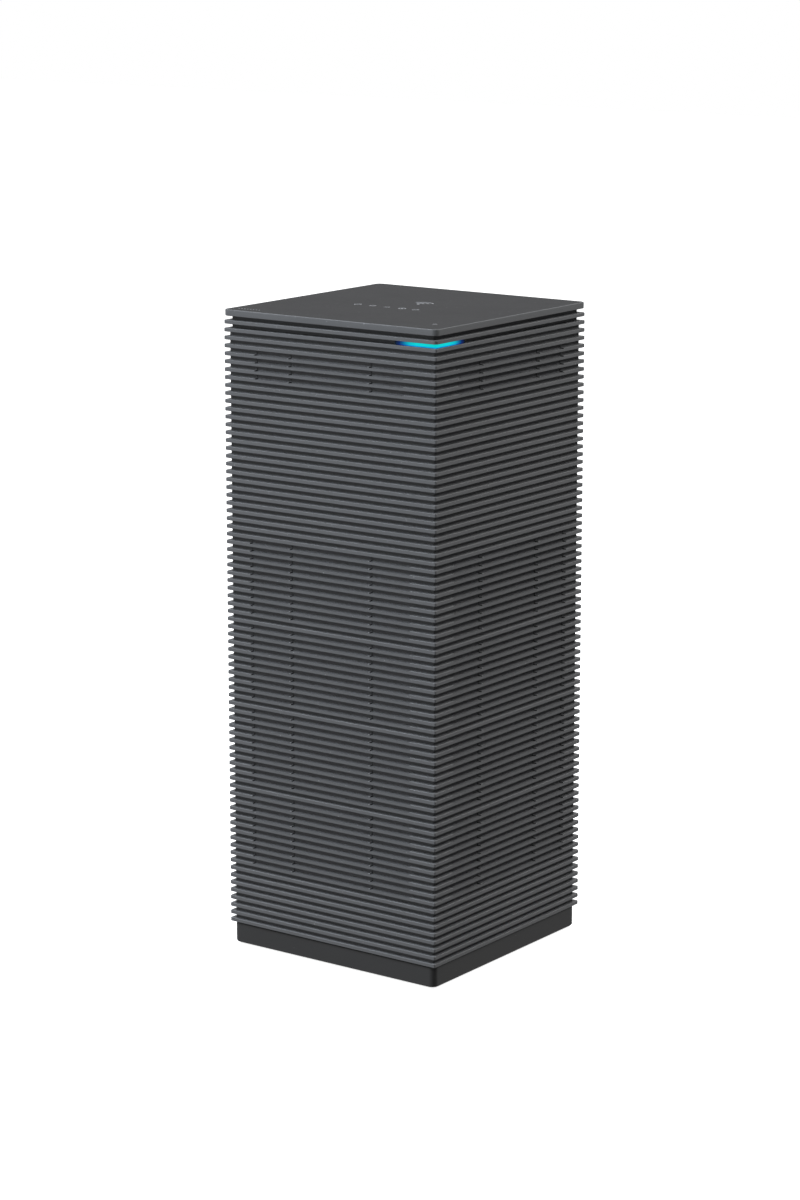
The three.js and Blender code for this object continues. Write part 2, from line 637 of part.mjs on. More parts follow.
// Back panel: the plate in the casing's opening, a lip behind it, and an aperture for each socket and button
function rearPanel() {
  const half = BODY_WIDTH / 2 - PANEL_SIDE_MARGIN;
  let panel = block(
    [-half + SLIP, PANEL_BACK, PANEL_BOTTOM + SLIP],
    [half - SLIP, PANEL_FACE, PANEL_TOP - SLIP],
  );
  panel = panel.add(block(
    [-half - PANEL_LIP, PANEL_BACK, PANEL_BOTTOM - PANEL_LIP],
    [half + PANEL_LIP, INNER.y - SEAT, PANEL_TOP + PANEL_LIP],
  ));
  for (const x of portPlaces()) {
    panel = panel.subtract(
      chip(x, PORT_Z, PORT_WIDTH + 2 * SLIP, PORT_HEIGHT + 2 * SLIP, PANEL_BACK - 1, PANEL_FACE + 1),
    );
  }
  const jackSide = JACK_SIDE + 2 * SLIP;
  panel = panel.subtract(chip(JACK_X, CONTROL_Z, jackSide, jackSide, PANEL_BACK - 1, PANEL_FACE + 1));
  for (const button of [POWER_BUTTON, SYNC_BUTTON, RESET_BUTTON]) {
    panel = panel.subtract(
      rodY(button.x, CONTROL_Z, button.radius + SLIP, PANEL_BACK - 1, PANEL_FACE + 1, 20),
    );
  }
  return panel;
}

function portPlaces() {
  return [-PORT_PITCH, 0, PORT_PITCH];
}

// A network socket: a shell on the board, open at the back, with a keyway for the plug's latch
function networkPort(x) {
  const mouth = SOCKET_FACE + 1;
  const cavityFloor = SOCKET_FACE - PLUG_DEPTH;
  const latchZ = PORT_Z - (PLUG_HEIGHT + LATCH_HEIGHT) / 2;
  return chip(x, PORT_Z, PORT_WIDTH, PORT_HEIGHT, PART_ROOT, SOCKET_FACE)
    .subtract(chip(x, PORT_Z, PLUG_WIDTH, PLUG_HEIGHT, cavityFloor, mouth))
    .subtract(chip(x, latchZ + SEAT, LATCH_WIDTH, LATCH_HEIGHT, cavityFloor, mouth));
}

// Power jack: a block with a round socket, its pin rooted in the block's back
function powerJack() {
  const boreFloor = SOCKET_FACE - JACK_BORE_DEPTH;
  const root = boreFloor - JACK_PIN_ROOT;
  return chip(JACK_X, CONTROL_Z, JACK_SIDE, JACK_SIDE, PART_ROOT, SOCKET_FACE)
    .subtract(rodY(JACK_X, CONTROL_Z, JACK_BORE_RADIUS, boreFloor, SOCKET_FACE + 1, 16))
    .subtract(rodY(JACK_X, CONTROL_Z, JACK_PIN_RADIUS + SEAT, root, SOCKET_FACE, 8));
}

function powerJackPin() {
  const root = SOCKET_FACE - JACK_BORE_DEPTH - JACK_PIN_ROOT + SEAT;
  return rodY(JACK_X, CONTROL_Z, JACK_PIN_RADIUS, root, SOCKET_FACE - JACK_PIN_RECESS, 8);
}

// A button: cap, a flange that keeps it behind the panel, and a stem that enters the switch
function pushButton(button) {
  const face = PANEL_FACE + button.proud;
  const flangeTop = PANEL_BACK - SEAT;
  const flangeBottom = flangeTop - BUTTON_FLANGE_HEIGHT;
  const stem = Math.max(button.radius * BUTTON_STEM_SHARE, 0.6);
  const stemTip = PART_ROOT + SWITCH_HEIGHT - STEM_OVERLAP;
  const flange = button.radius + BUTTON_FLANGE;
  return turnedY([
    [0, stemTip], [stem, stemTip], [stem, flangeBottom], [flange, flangeBottom],
    [flange, flangeTop], [button.radius, flangeTop], [button.radius, face], [0, face],
  ], button.x, CONTROL_Z);
}

// The switch under a button: a block on the board with a bore for the stem
function pushSwitch(button) {
  const top = PART_ROOT + SWITCH_HEIGHT;
  const stem = Math.max(button.radius * BUTTON_STEM_SHARE, 0.6);
  return chip(button.x, CONTROL_Z, button.body, button.body, PART_ROOT, top)
    .subtract(rodY(button.x, CONTROL_Z, stem + SLIP, top - SWITCH_BORE_DEPTH, top + 1, 16));
}

// Antennas
function antennaSpots() {
  const y = BODY_DEPTH / 2 - ANTENNA_INSET;
  return [[-ANTENNA_X, -y], [ANTENNA_X, -y], [ANTENNA_X, y], [-ANTENNA_X, y]];
}

function antennaSlot([x, y]) {
  const halfWidth = ANTENNA_WIDTH / 2 + SLIP;
  const halfThickness = ANTENNA_THICKNESS / 2 + SLIP;
  return block(
    [x - halfWidth, y - halfThickness, CHASSIS_DECK_BOTTOM - 1],
    [x + halfWidth, y + halfThickness, CHASSIS_DECK_TOP + 1],
  );
}

// A thin T: the head rests on the deck and the blade hangs through its slot
function antenna([x, y]) {
  const halfThickness = ANTENNA_THICKNESS / 2;
  const headBottom = CHASSIS_DECK_TOP + SEAT;
  const blade = block(
    [x - ANTENNA_WIDTH / 2, y - halfThickness, headBottom - ANTENNA_LENGTH],
    [x + ANTENNA_WIDTH / 2, y + halfThickness, headBottom + ANTENNA_HEAD],
  );
  return blade.add(block(
    [x - ANTENNA_HEAD_WIDTH / 2, y - halfThickness, headBottom],
    [x + ANTENNA_HEAD_WIDTH / 2, y + halfThickness, headBottom + ANTENNA_HEAD],
  ));
}

// A lead or ribbon swept along a smooth curve through its points
function swept(outline, points, steps) {
  const curve = new THREE.CatmullRomCurve3(points.map(([x, y, z]) => new THREE.Vector3(x, y, z)));
  const shape = new THREE.Shape(outline.map(([x, y]) => new THREE.Vector2(x, y)));
  return solidOf(new THREE.ExtrudeGeometry(shape, { steps, extrudePath: curve }));
}

function ring(radius, sides) {
  return Array.from({ length: sides }, (_, side) => {
    const angle = (2 * Math.PI * side) / sides;
    return [radius * Math.cos(angle), radius * Math.sin(angle)];
  });
}

// A coaxial lead from the foot of an antenna's blade to the nearer face of the board
function antennaLead([x, y]) {
  const inward = -Math.sign(y);
  const blade = y + inward * (ANTENNA_THICKNESS / 2 + LEAD_RADIUS + 2 * SEAT);
  const foot = CHASSIS_DECK_TOP - ANTENNA_LENGTH + 4;
  const end = y > 0 ? BOARD_REAR + SEAT : BOARD_FRONT - SEAT;
  const landing = BOARD_TOP - CHASSIS_BAR - 6;
  const inset = Math.sign(x) * 4;
  return swept(ring(LEAD_RADIUS, 8), [
    [x, blade, foot], [x, blade, foot - 3],
    [x - inset / 2, (blade + end) / 2, landing + 2],
    [x - inset, end - inward * 5, landing], [x - inset, end, landing],
  ], 14);
}

// The flat cable from the light board down through the deck's window to the main board
function ribbonCable() {
  const corner = ledBoardCorner();
  const top = LED_TOP - LED_HEIGHT - LED_BOARD_THICKNESS - ROOM;
  const [startX, startY] = [corner.x - LED_BOARD_SIDE + 3, corner.y + LED_BOARD_SIDE / 2];
  const half = { x: RIBBON_WIDTH / 2, y: RIBBON_THICKNESS / 2 };
  const outline = fourCorners(half);
  const x = CHASSIS_WINDOW / 2;
  return swept(outline, [
    [startX, startY, top], [startX, startY, top - 3],
    [x, -CHASSIS_WINDOW / 2, CHASSIS_DECK_TOP + 2],
    [x, BOARD_FRONT - 15, BOARD_TOP + 8],
    [x, BOARD_FRONT - 14, BOARD_TOP - 12],
    [x, BOARD_FRONT - 5, BOARD_TOP - 16], [x, BOARD_FRONT - ROOM, BOARD_TOP - 16],
  ], 22);
}

// Assembly, from the outside in
add("top_plate", topPlate(), "casing");
add("top_cap", topCap(), "casing");
add("casing_sleeve", casingSleeve(), "casing");
add("rear_panel", rearPanel(), "panel");
add("base_plinth", basePlinth(), "plinth");
add("foot_pad", footPad(), "rubber");
add("ballast_plate", ballastPlate(), "steel");
addBaseScrews();
add("chassis", chassis(), "frame");

add("light_pipe", lightPipe(), "light");
add("led_board", ledBoard(), "board");
addStatusLeds();

add("main_board", mainBoard(), "board");
boardScrewSpots().forEach(([x, z], index) => add(`board_screw_${index + 1}`, boardScrew(x, z), "steel"));
sinkScrewSpots().forEach(([x, z], index) => add(`sink_screw_${index + 1}`, boardScrew(x, z), "steel"));
add("heat_sink", heatSink(), "aluminium");
add("processor_chip", frontPart(PROCESSOR), "chip");
add("processor_thermal_pad", thermalPad(PROCESSOR_PAD, PROCESSOR), "pad");
add("shield_can_lower", frontPart(LOWER_CAN), "shield");
add("shield_can_upper", frontPart(UPPER_CAN), "shield");
add("radio_thermal_pad", thermalPad(RADIO_PAD, UPPER_CAN), "pad");
add("memory_chip", rearPart(MEMORY, SUPPLY_Z), "chip");
add("lan_transformer", rearPart(TRANSFORMER, BETWEEN_ROWS_Z), "chip");
add("supply_inductor", rearPart(INDUCTOR, SUPPLY_Z), "chip");
add("supply_capacitor", capacitor(), "shield");

portPlaces().forEach((x, index) => {
  add(index === 0 ? "wan_port" : `lan_port_${index}`, networkPort(x), "socket");
});
add("dc_jack", powerJack(), "socket");
add("dc_pin", powerJackPin(), "brass");
add("power_switch", pushSwitch(POWER_BUTTON), "chip");
add("power_button", pushButton(POWER_BUTTON), "button");
add("sync_switch", pushSwitch(SYNC_BUTTON), "chip");
add("sync_button", pushButton(SYNC_BUTTON), "button");
add("reset_switch", pushSwitch(RESET_BUTTON), "chip");
add("reset_button", pushButton(RESET_BUTTON), "button");

antennaSpots().forEach((spot, index) => add(`antenna_${index + 1}`, antenna(spot), "brass"));
antennaSpots().forEach((spot, index) => add(`antenna_lead_${index + 1}`, antennaLead(spot), "lead"));
add("ribbon_cable", ribbonCable(), "ribbon");

export default tower;
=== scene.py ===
"""Looks of a square ribbed wifi node: a finned tower on a plinth, with a status light in one corner and its
sockets and buttons low on the back. Meshes are shaped in millimetres and put down in the frame's metres."""

import logging
import math
from dataclasses import dataclass, field
from enum import Enum
from typing import Any, Iterable, Optional, Sequence, Union

import bmesh
import bpy
from mathutils import Matrix, Vector


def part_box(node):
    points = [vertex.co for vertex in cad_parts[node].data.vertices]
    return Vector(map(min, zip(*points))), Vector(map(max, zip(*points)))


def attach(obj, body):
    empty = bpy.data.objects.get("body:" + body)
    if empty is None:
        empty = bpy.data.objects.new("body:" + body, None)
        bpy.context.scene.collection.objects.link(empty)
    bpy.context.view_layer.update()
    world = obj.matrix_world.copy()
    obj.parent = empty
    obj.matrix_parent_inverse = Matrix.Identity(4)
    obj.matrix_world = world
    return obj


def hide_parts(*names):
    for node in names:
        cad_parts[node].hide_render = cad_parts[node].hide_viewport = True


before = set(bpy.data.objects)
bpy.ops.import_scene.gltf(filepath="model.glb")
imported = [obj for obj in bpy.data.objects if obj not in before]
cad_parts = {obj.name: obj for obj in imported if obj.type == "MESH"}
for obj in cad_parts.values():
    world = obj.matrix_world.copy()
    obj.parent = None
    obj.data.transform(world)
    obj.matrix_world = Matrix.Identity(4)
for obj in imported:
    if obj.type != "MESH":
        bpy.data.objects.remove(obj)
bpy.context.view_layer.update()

LOG = logging.getLogger("wifi_node")
MM = 0.001
CASING = "casing"
Tone = tuple[float, float, float]
Number = Union["Wire", float, Sequence[float]]
Ring = list[bmesh.types.BMEdge]


# ---------------------------------------------------------------- shader sheets


class Wire:
    """One socket of a material's nodes, on which sums can be written."""

    def __init__(self, sheet: "Sheet", socket: bpy.types.NodeSocket) -> None:
        """Keeps the socket and the sheet that it is on."""
        self.sheet, self.socket = sheet, socket

    def __add__(self, other: Number) -> "Wire":
        """self + other."""
        return self.sheet.maths("ADD", self, other)

    __radd__ = __add__

    def __sub__(self, other: Number) -> "Wire":
        """self - other."""
        return self.sheet.maths("SUBTRACT", self, other)

    def __rsub__(self, other: Number) -> "Wire":
        """other - self."""
        return self.sheet.maths("SUBTRACT", other, self)

    def __mul__(self, other: Number) -> "Wire":
        """self * other."""
        return self.sheet.maths("MULTIPLY", self, other)

    __rmul__ = __mul__

    def __abs__(self) -> "Wire":
        """The size of self, whatever its sign."""
        return self.sheet.maths("ABSOLUTE", self)

    def __gt__(self, other: Number) -> "Wire":
        """1 where self is above other, and 0 elsewhere."""
        return self.sheet.maths("GREATER_THAN", self, other)

    def over(self, size: float) -> "Wire":
        """What is left of self after whole steps of size."""
        return self.sheet.maths("FLOORED_MODULO", self, size)

    def most(self, other: Number) -> "Wire":
        """The larger of self and other."""
        return self.sheet.maths("MAXIMUM", self, other)

    def rise(self, low: float, high: float) -> "Wire":
        """A smooth step from 0 where self is low to 1 where it is high."""
        settings = {"interpolation_type": "SMOOTHSTEP"}
        return self.sheet.node("MapRange", settings, {0: self, 1: low, 2: high})


class Lay(Enum):
    """The direction that fine lines run in."""

    ALONG_X = (12.0, 0.16, 0.16)
    ALONG_Y = (0.16, 12.0, 0.16)
    ALONG_Z = (0.16, 0.16, 12.0)
    LEVEL = (14.0, 14.0, 0.32)


class Sheet:
    """The nodes of one material or of the sky, round its shader."""

    def __init__(self, holder: Union[bpy.types.Material, bpy.types.World]) -> None:
        """Opens the nodes of a material or a world."""
        holder.use_nodes = True
        self.tree = holder.node_tree
        self.shader = self.tree.nodes.get("Principled BSDF") or self.tree.nodes["Background"]

    def node(
        self,
        kind: str,
        settings: Optional[dict[str, Any]] = None,
        inputs: Optional[dict[Union[int, str], Number]] = None,
        output: Union[int, str] = 0,
    ) -> Wire:
        """Adds one node.

        Args:
            kind: the node's type, without its ShaderNode prefix.
            settings: the node's own choices; "stops" are a ramp's places and colours.
            inputs: values or wires for its sockets, by name or number.
            output: which of its sockets to give back.

        Returns:
            The chosen output.
        """
        made = self.tree.nodes.new("ShaderNode" + kind)
        for name, value in (settings or {}).items():
            if name == "stops":
                self._ramp(made.color_ramp, value)
            else:
                setattr(made, name, value)
        for name, value in (inputs or {}).items():
            self.feed(made.inputs[name], value)
        return Wire(self, made.outputs[output])

    @staticmethod
    def _ramp(ramp: bpy.types.ColorRamp, stops: Sequence[tuple[float, Tone]]) -> None:
        """Gives a ramp its stops, each a place from 0 to 1 and a colour."""
        while len(ramp.elements) < len(stops):
            ramp.elements.new(1.0)
        for element, (place, tone) in zip(ramp.elements, stops):
            element.position = place
            element.color = (*tone, 1.0)

    def feed(self, socket: bpy.types.NodeSocket, value: Number) -> None:
        """Links a wire to a socket, or sets the socket's own value."""
        if isinstance(value, Wire):
            self.tree.links.new(value.socket, socket)
        elif isinstance(value, (tuple, list)) and socket.type == "RGBA":
            socket.default_value = (*value, 1.0)
        else:
            socket.default_value = value

    def surface(self, **values: Number) -> None:
        """Feeds the shader's sockets, named with _ for a space."""
        for name, value in values.items():
            self.feed(self.shader.inputs[name.replace("_", " ")], value)

    def maths(self, operation: str, *terms: Number) -> Wire:
        """Does a sum of one to three terms."""
        return self.node("Math", {"operation": operation}, dict(enumerate(terms)))

    def place(
        self,
        size: Sequence[float] = (1.0, 1.0, 1.0),
        centre: Sequence[float] = (0.0, 0.0, 0.0),
        turn: Sequence[float] = (0.0, 0.0, 0.0),
    ) -> Wire:
        """The point being shaded, as a pattern sees it.

        Args:
            size: millimetres to one step of the pattern, along each axis.
            centre: millimetres from the frame's origin to the pattern's.
            turn: the pattern's turn about each axis, in radians.

        Returns:
            The mapped object coordinates.
        """
        spot = self.node("TexCoord", output="Object")
        return self.node("Mapping", {"vector_type": "TEXTURE"}, {
            "Vector": spot,
            "Location": tuple(value * MM for value in centre),
            "Rotation": tuple(turn),
            "Scale": tuple(value * MM for value in size),
        })

    def axes(self, spot: Wire) -> tuple[Wire, Wire, Wire]:
        """Splits a point into its three coordinates."""
        parts = self.node("SeparateXYZ", {}, {0: spot}).socket.node
        return tuple(Wire(self, socket) for socket in parts.outputs)

    def noise(self, size: Union[float, Lay], detail: float = 3.0, roughness: float = 0.5) -> Wire:
        """Cloudy noise from 0 to 1, whose blots are size millimetres or lie along a Lay."""
        sizes = size.value if isinstance(size, Lay) else (size, size, size)
        inputs = {"Vector": self.place(sizes), "Scale": 1.0, "Detail": detail, "Roughness": roughness}
        return self.node("TexNoise", {}, inputs)

    def specks(self, pitch: float, radius: float, share: float) -> Wire:
        """Scattered round specks.

        Args:
            pitch: millimetres from one possible speck to the next.
            radius: a speck's radius as a share of the pitch.
            share: how many of the possible specks there are, from 0 to 1.

        Returns:
            1 in a speck and 0 outside.
        """
        spot = self.place((pitch, pitch, pitch))
        inputs = {"Vector": spot, "Scale": 1.0}
        near = 1.0 - self.node("TexVoronoi", {}, inputs, "Distance").rise(radius * 0.5, radius)
        drawn = self.node("TexWhiteNoise", {}, {"Vector": self.node("TexVoronoi", {}, inputs, "Position")})
        return near * (drawn > 1.0 - share)

    def mix(self, share: Number, first: Number, second: Number) -> Wire:
        """A colour that goes from first to second as share goes from 0 to 1."""
        return self.node("Mix", {"data_type": "RGBA"}, {0: share, 6: first, 7: second}, 2)

    def shade(self, tone: Number, amount: Wire) -> Wire:
        """A colour made lighter or darker by a factor."""
        return self.node("VectorMath", {"operation": "SCALE"}, {0: tone, "Scale": amount})

    def bump(self, height: Wire, depth: float, strength: float = 1.0) -> Wire:
        """A bumped normal, for a height from 0 to 1 that stands for depth millimetres."""
        inputs = {"Height": height, "Distance": depth * MM, "Strength": strength}
        return self.node("Bump", {}, inputs)


# ---------------------------------------------------------------- finishes


@dataclass(frozen=True)
class Finish:
    """A finish that pieces are dressed in; its material is made once."""

    name: str
    tone: Tone

    def paint(self, sheet: Sheet) -> None:
        """Builds the finish's nodes on a sheet."""
        raise NotImplementedError

    def material(self) -> bpy.types.Material:
        """The finish's material, made the first time that it is asked for."""
        made = bpy.data.materials.get(self.name)
        if made is None:
            made = bpy.data.materials.new(self.name)
            self.paint(Sheet(made))
        return made

    def dress(self, *pieces: bpy.types.Object) -> None:
        """Puts the finish on pieces, in each of their material slots."""
        for piece in pieces:
            if not piece.material_slots:
                piece.data.materials.append(self.material())
            for slot in piece.material_slots:
                slot.material = self.material()


@dataclass(frozen=True)
class FleckedPlastic(Finish):
    """Matt moulded plastic with pale flecks, fine pores and faint level flow lines; given a groove depth, it paints
    shade on the groove floors.
    """

    fleck: Tone = (0.16, 0.165, 0.17)
    fleck_share: float = 0.10
    roughness: float = 0.5
    gloss: float = 0.5
    flow: float = 0.1
    groove_half: float = 0.0
    painted_groove_shade: float = 0.95

    def paint(self, sheet: Sheet) -> None:
        """Builds the finish's nodes on a sheet."""
        cloud = sheet.noise(18.0, 2.0)
        pores = sheet.noise(0.16, 3.0, 0.6)
        lines = sheet.noise(Lay.LEVEL, 4.0, 0.65)
        flecks = sheet.specks(0.9, 0.2, self.fleck_share) * 0.55 + sheet.specks(3.1, 0.075, 0.5) * 0.8
        light = 0.86 + cloud * 0.12 + pores * 0.1 + lines * self.flow
        roughness = self.roughness - 0.07 + pores * 0.08 + lines * 0.06
        # Painted shade: inside groove_half the groove floors are made darker and lose their pale flecks; they also turn
        # rougher.
        if self.groove_half:
            x, y, _ = sheet.axes(sheet.place())
            proud = abs(x).most(abs(y)).rise(self.groove_half - 0.05, self.groove_half + 0.05)
            light = light * (self.painted_groove_shade + proud * (1.0 - self.painted_groove_shade))
            roughness = roughness + (1.0 - proud) * 0.25
            flecks = flecks * proud
        base = sheet.mix(flecks, sheet.shade(self.tone, light), self.fleck)
        sheet.surface(
            Base_Color=base,
            Roughness=roughness,
            Specular_IOR_Level=self.gloss,
            Normal=sheet.bump(pores * 0.6 + lines * 0.8 + flecks * 0.3, 0.03, 0.5),
        )


@dataclass(frozen=True)
class MattPlastic(Finish):
    """Smooth or spark-textured plastic with slow cloudiness and a few rubbed spots."""

    roughness: float = 0.55
    gloss: float = 0.4
    grain: float = 0.25
    grain_depth: float = 0.02
    dust: Tone = (0.2, 0.2, 0.2)

    def paint(self, sheet: Sheet) -> None:
        """Builds the finish's nodes on a sheet."""
        cloud = sheet.noise(14.0, 3.0)
        grain = sheet.noise(self.grain, 4.0, 0.6)
        rub = sheet.noise(5.0, 5.0, 0.7).rise(0.6, 0.8)
        base = sheet.shade(self.tone, 0.84 + cloud * 0.2 + grain * 0.12)
        sheet.surface(
            Base_Color=sheet.mix(sheet.specks(1.7, 0.08, 0.3) * 0.4, base, self.dust),
            Roughness=self.roughness + grain * 0.08 - rub * 0.07,
            Specular_IOR_Level=self.gloss,
            Normal=sheet.bump(grain, self.grain_depth, 0.6),
        )


@dataclass(frozen=True)
class FootRubber(Finish):
    """Soft black rubber, pebbled, with pale dust in its hollows."""

    roughness: float = 0.86

    def paint(self, sheet: Sheet) -> None:
        """Builds the finish's nodes on a sheet."""
        spot = sheet.place((0.7, 0.7, 0.7))
        pebble = sheet.node("TexVoronoi", {}, {"Vector": spot, "Scale": 1.0}, "Distance")
        dust = sheet.noise(6.0, 5.0, 0.7).rise(0.45, 0.8) * pebble
        sheet.surface(
            Base_Color=sheet.mix(dust * 0.5, self.tone, (0.12, 0.115, 0.11)),
            Roughness=self.roughness + dust * 0.1,
            Specular_IOR_Level=0.3,
            Normal=sheet.bump(1.0 - pebble, 0.08, 0.7),
        )


@dataclass(frozen=True)
class LitPipe(Finish):
    """Clear plastic lit from its corner: brightest there, deep blue where the light runs out."""

    corner: tuple[float, float, float] = (37.0, -37.0, 185.2)
    reach: float = 13.7
    height: float = 1.0
    rim: Tone = (0.1, 0.35, 1.3)

    def paint(self, sheet: Sheet) -> None:
        """Builds the finish's nodes on a sheet."""
        x, y, z = sheet.axes(sheet.place(centre=self.corner))
        away = abs(x).most(abs(y)) * (1.0 / self.reach)
        stops = [
            (0.0, (0.0, 0.66, 0.64)), (0.48, (0.0, 0.69, 0.7)), (0.66, (0.0, 0.5, 0.58)),
            (0.8, (0.0, 0.14, 0.34)), (0.9, (0.0, 0.012, 0.12)), (1.0, (0.001, 0.001, 0.004)),
        ]
        along = sheet.node("ValToRGB", {"stops": stops}, {0: away})
        low = 1.0 - z.rise(-0.5 * self.height, 0.05 * self.height)
        ripple = sheet.noise(1.2, 2.0)
        blue = sheet.shade(along, 0.86 + ripple * 0.2)
        settings = {"data_type": "RGBA", "blend_type": "MULTIPLY"}
        rim = sheet.node("Mix", settings, {0: low * 0.8, 6: blue, 7: self.rim}, 2)
        sheet.surface(
            Base_Color=sheet.shade(self.tone, 0.8 + ripple * 0.4),
            Roughness=0.6 + ripple * 0.1,
            Specular_IOR_Level=0.05,
            Emission_Color=rim,
            Emission_Strength=1.0,
        )


@dataclass(frozen=True)
class Lens(Finish):
    """Milky plastic over a small lamp, with paler cloudy patches."""

    glow: float = 0.0

    def paint(self, sheet: Sheet) -> None:
        """Builds the finish's nodes on a sheet."""
        cloud = sheet.noise(1.4, 2.0)
        base = sheet.mix(cloud, self.tone, tuple(min(1.0, value * 1.5 + 0.05) for value in self.tone))
        sheet.surface(Base_Color=base, Roughness=0.22 + cloud * 0.12)
        if self.glow:
            sheet.surface(Emission_Color=base, Emission_Strength=self.glow)


@dataclass(frozen=True)
class BareMetal(Finish):
    """Bare or plated metal with drawn lines, slow tarnish and rubbed patches."""

    roughness: float = 0.32
    lay: Lay = Lay.ALONG_Z
    tarnish: Tone = (0.3, 0.28, 0.26)
    tarnish_share: float = 0.25

    def paint(self, sheet: Sheet) -> None:
        """Builds the finish's nodes on a sheet."""
        lines = sheet.noise(self.lay, 4.0, 0.6)
        patch = sheet.noise(3.5, 5.0, 0.65).rise(0.42, 0.75)
        base = sheet.shade(self.tone, 0.85 + lines * 0.25)
        sheet.surface(
            Base_Color=sheet.mix(patch * self.tarnish_share, base, self.tarnish),
            Metallic=1.0 - patch * self.tarnish_share * 0.3,
            Roughness=self.roughness - 0.06 + lines * 0.14 + patch * 0.1,
            Normal=sheet.bump(lines, 0.012, 0.6),
        )


@dataclass(frozen=True)
class SolderMask(Finish):
    """A printed board: lacquer over raised tracks, with tinned pads and vias showing through."""

    track: Tone = (0.03, 0.16, 0.065)
    tin: Tone = (0.55, 0.54, 0.5)

    def paint(self, sheet: Sheet) -> None:
        """Builds the finish's nodes on a sheet."""
        settings = {"feature": "DISTANCE_TO_EDGE"}
        spot = sheet.place((3.2, 3.2, 3.2))
        edge = sheet.node("TexVoronoi", settings, {"Vector": spot, "Scale": 1.0, "Randomness": 0.35}, "Distance")
        tracks = 1.0 - edge.rise(0.05, 0.09)
        vias = sheet.specks(1.9, 0.2, 0.5)
        cloud = sheet.noise(9.0, 3.0)
        lacquer = sheet.mix(tracks, sheet.shade(self.tone, 0.8 + cloud * 0.4), self.track)
        sheet.surface(
            Base_Color=sheet.mix(vias, lacquer, self.tin),
            Metallic=vias * 0.9,
            Roughness=0.34 + cloud * 0.12 - vias * 0.08,
            Normal=sheet.bump(tracks * 0.5 + vias, 0.035, 0.6),
        )


@dataclass(frozen=True)
class ChipMould(Finish):
    """Black moulded epoxy, finely grained."""

    def paint(self, sheet: Sheet) -> None:
        """Builds the finish's nodes on a sheet."""
        grain = sheet.noise(0.2, 4.0, 0.65)
        base = sheet.shade(self.tone, 0.7 + sheet.noise(4.0, 3.0) * 0.6)
        sheet.surface(
            Base_Color=sheet.mix(sheet.specks(0.6, 0.16, 0.25) * 0.3, base, (0.14, 0.14, 0.14)),
            Roughness=0.42 + grain * 0.22,
            Normal=sheet.bump(grain, 0.02, 0.7),
        )


@dataclass(frozen=True)
class SiliconePad(Finish):
    """A soft filled heat pad, with the print of its liner."""

    def paint(self, sheet: Sheet) -> None:
        """Builds the finish's nodes on a sheet."""
        x, _, z = sheet.axes(sheet.place((1.1, 1.1, 1.1), turn=(0.0, math.pi / 4, 0.0)))
        print_mark = abs(x.over(1.0) - 0.5).most(abs(z.over(1.0) - 0.5)).rise(0.34, 0.48)
        fill = sheet.noise(0.3, 3.0)
        sheet.surface(
            Base_Color=sheet.shade(self.tone, 0.8 + fill * 0.25 + print_mark * 0.1),
            Roughness=0.78 + fill * 0.1,
            Normal=sheet.bump(print_mark, 0.05, 0.6),
        )


@dataclass(frozen=True)
class Jacket(Finish):
    """The sleeve of a thin lead, banded by the braid beneath it; or a flat cable's ribs. The valleys between bands are
    painted darker, as shade.
    """

    rib: tuple[float, float, float] = (0.0, 0.0, 0.9)
    rib_valley_shade: float = 0.14

    def paint(self, sheet: Sheet) -> None:
        """Builds the finish's nodes on a sheet."""
        along = [
            abs((axis * (1.0 / pitch)).over(1.0) - 0.5)
            for axis, pitch in zip(sheet.axes(sheet.place()), self.rib) if pitch
        ]
        ribs = along[0].rise(0.1, 0.45)
        cloud = sheet.noise(3.0, 3.0)
        sheet.surface(
            # Painted shade: the colour darkens in the valleys between the ribs.
            Base_Color=sheet.shade(self.tone, 0.85 + cloud * 0.2 - ribs * self.rib_valley_shade),
            Roughness=0.42 + cloud * 0.15,
            Normal=sheet.bump(1.0 - ribs, 0.05, 0.5),
        )


@dataclass(frozen=True)
class ShadeCloth(Finish):
    """Fine woven dark cloth, a sheet that stands in for the shade inside the air slots: level and upright threads that
    pass over and under each other.
    """

    pitch: float = 0.3

    def paint(self, sheet: Sheet) -> None:
        """Builds the finish's nodes on a sheet."""
        x, y, z = sheet.axes(sheet.place((self.pitch, self.pitch, self.pitch)))
        upright = abs((x + y).over(1.0) - 0.5)
        level = abs(z.over(1.0) - 0.5)
        thread = 1.0 - upright.rise(0.2, 0.5) * level.rise(0.2, 0.5)
        slub = sheet.noise(2.5, 4.0, 0.6)
        sheet.surface(
            Base_Color=sheet.shade(self.tone, (0.5 + thread * 0.5) * (0.8 + slub * 0.4)),
            Roughness=0.85 + slub * 0.1,
            Specular_IOR_Level=0.2,
            Normal=sheet.bump(thread, 0.06, 0.6),
        )


@dataclass(frozen=True)
class PadInk(Finish):
    """Thin pale pad print, a little broken up by the plastic's pores."""

    wear: float = 0.3
    under: Tone = (0.03, 0.031, 0.033)

    def paint(self, sheet: Sheet) -> None:
        """Builds the finish's nodes on a sheet."""
        worn = sheet.noise(0.28, 4.0, 0.65).rise(0.5, 0.75) * self.wear
        sheet.surface(
            Base_Color=sheet.mix(worn, self.tone, self.under),
            Roughness=0.5 + worn * 0.15,
            Normal=sheet.bump(1.0 - worn, 0.01, 0.5),
        )


@dataclass(frozen=True)
class PaleFloor(Finish):
    """The studio's pale floor, with a little light of its own so that shadows stay soft."""

    own_light: float = 0.85

    def paint(self, sheet: Sheet) -> None:
        """Builds the finish's nodes on a sheet."""
        cloud = sheet.noise(220.0, 2.0)
        sheet.surface(
            Base_Color=sheet.shade(self.tone, 0.99 + cloud * 0.02),
            Roughness=0.9,
            Specular_IOR_Level=0.1,
            Emission_Color=(1.0, 1.0, 1.0),
            Emission_Strength=self.own_light,
        )
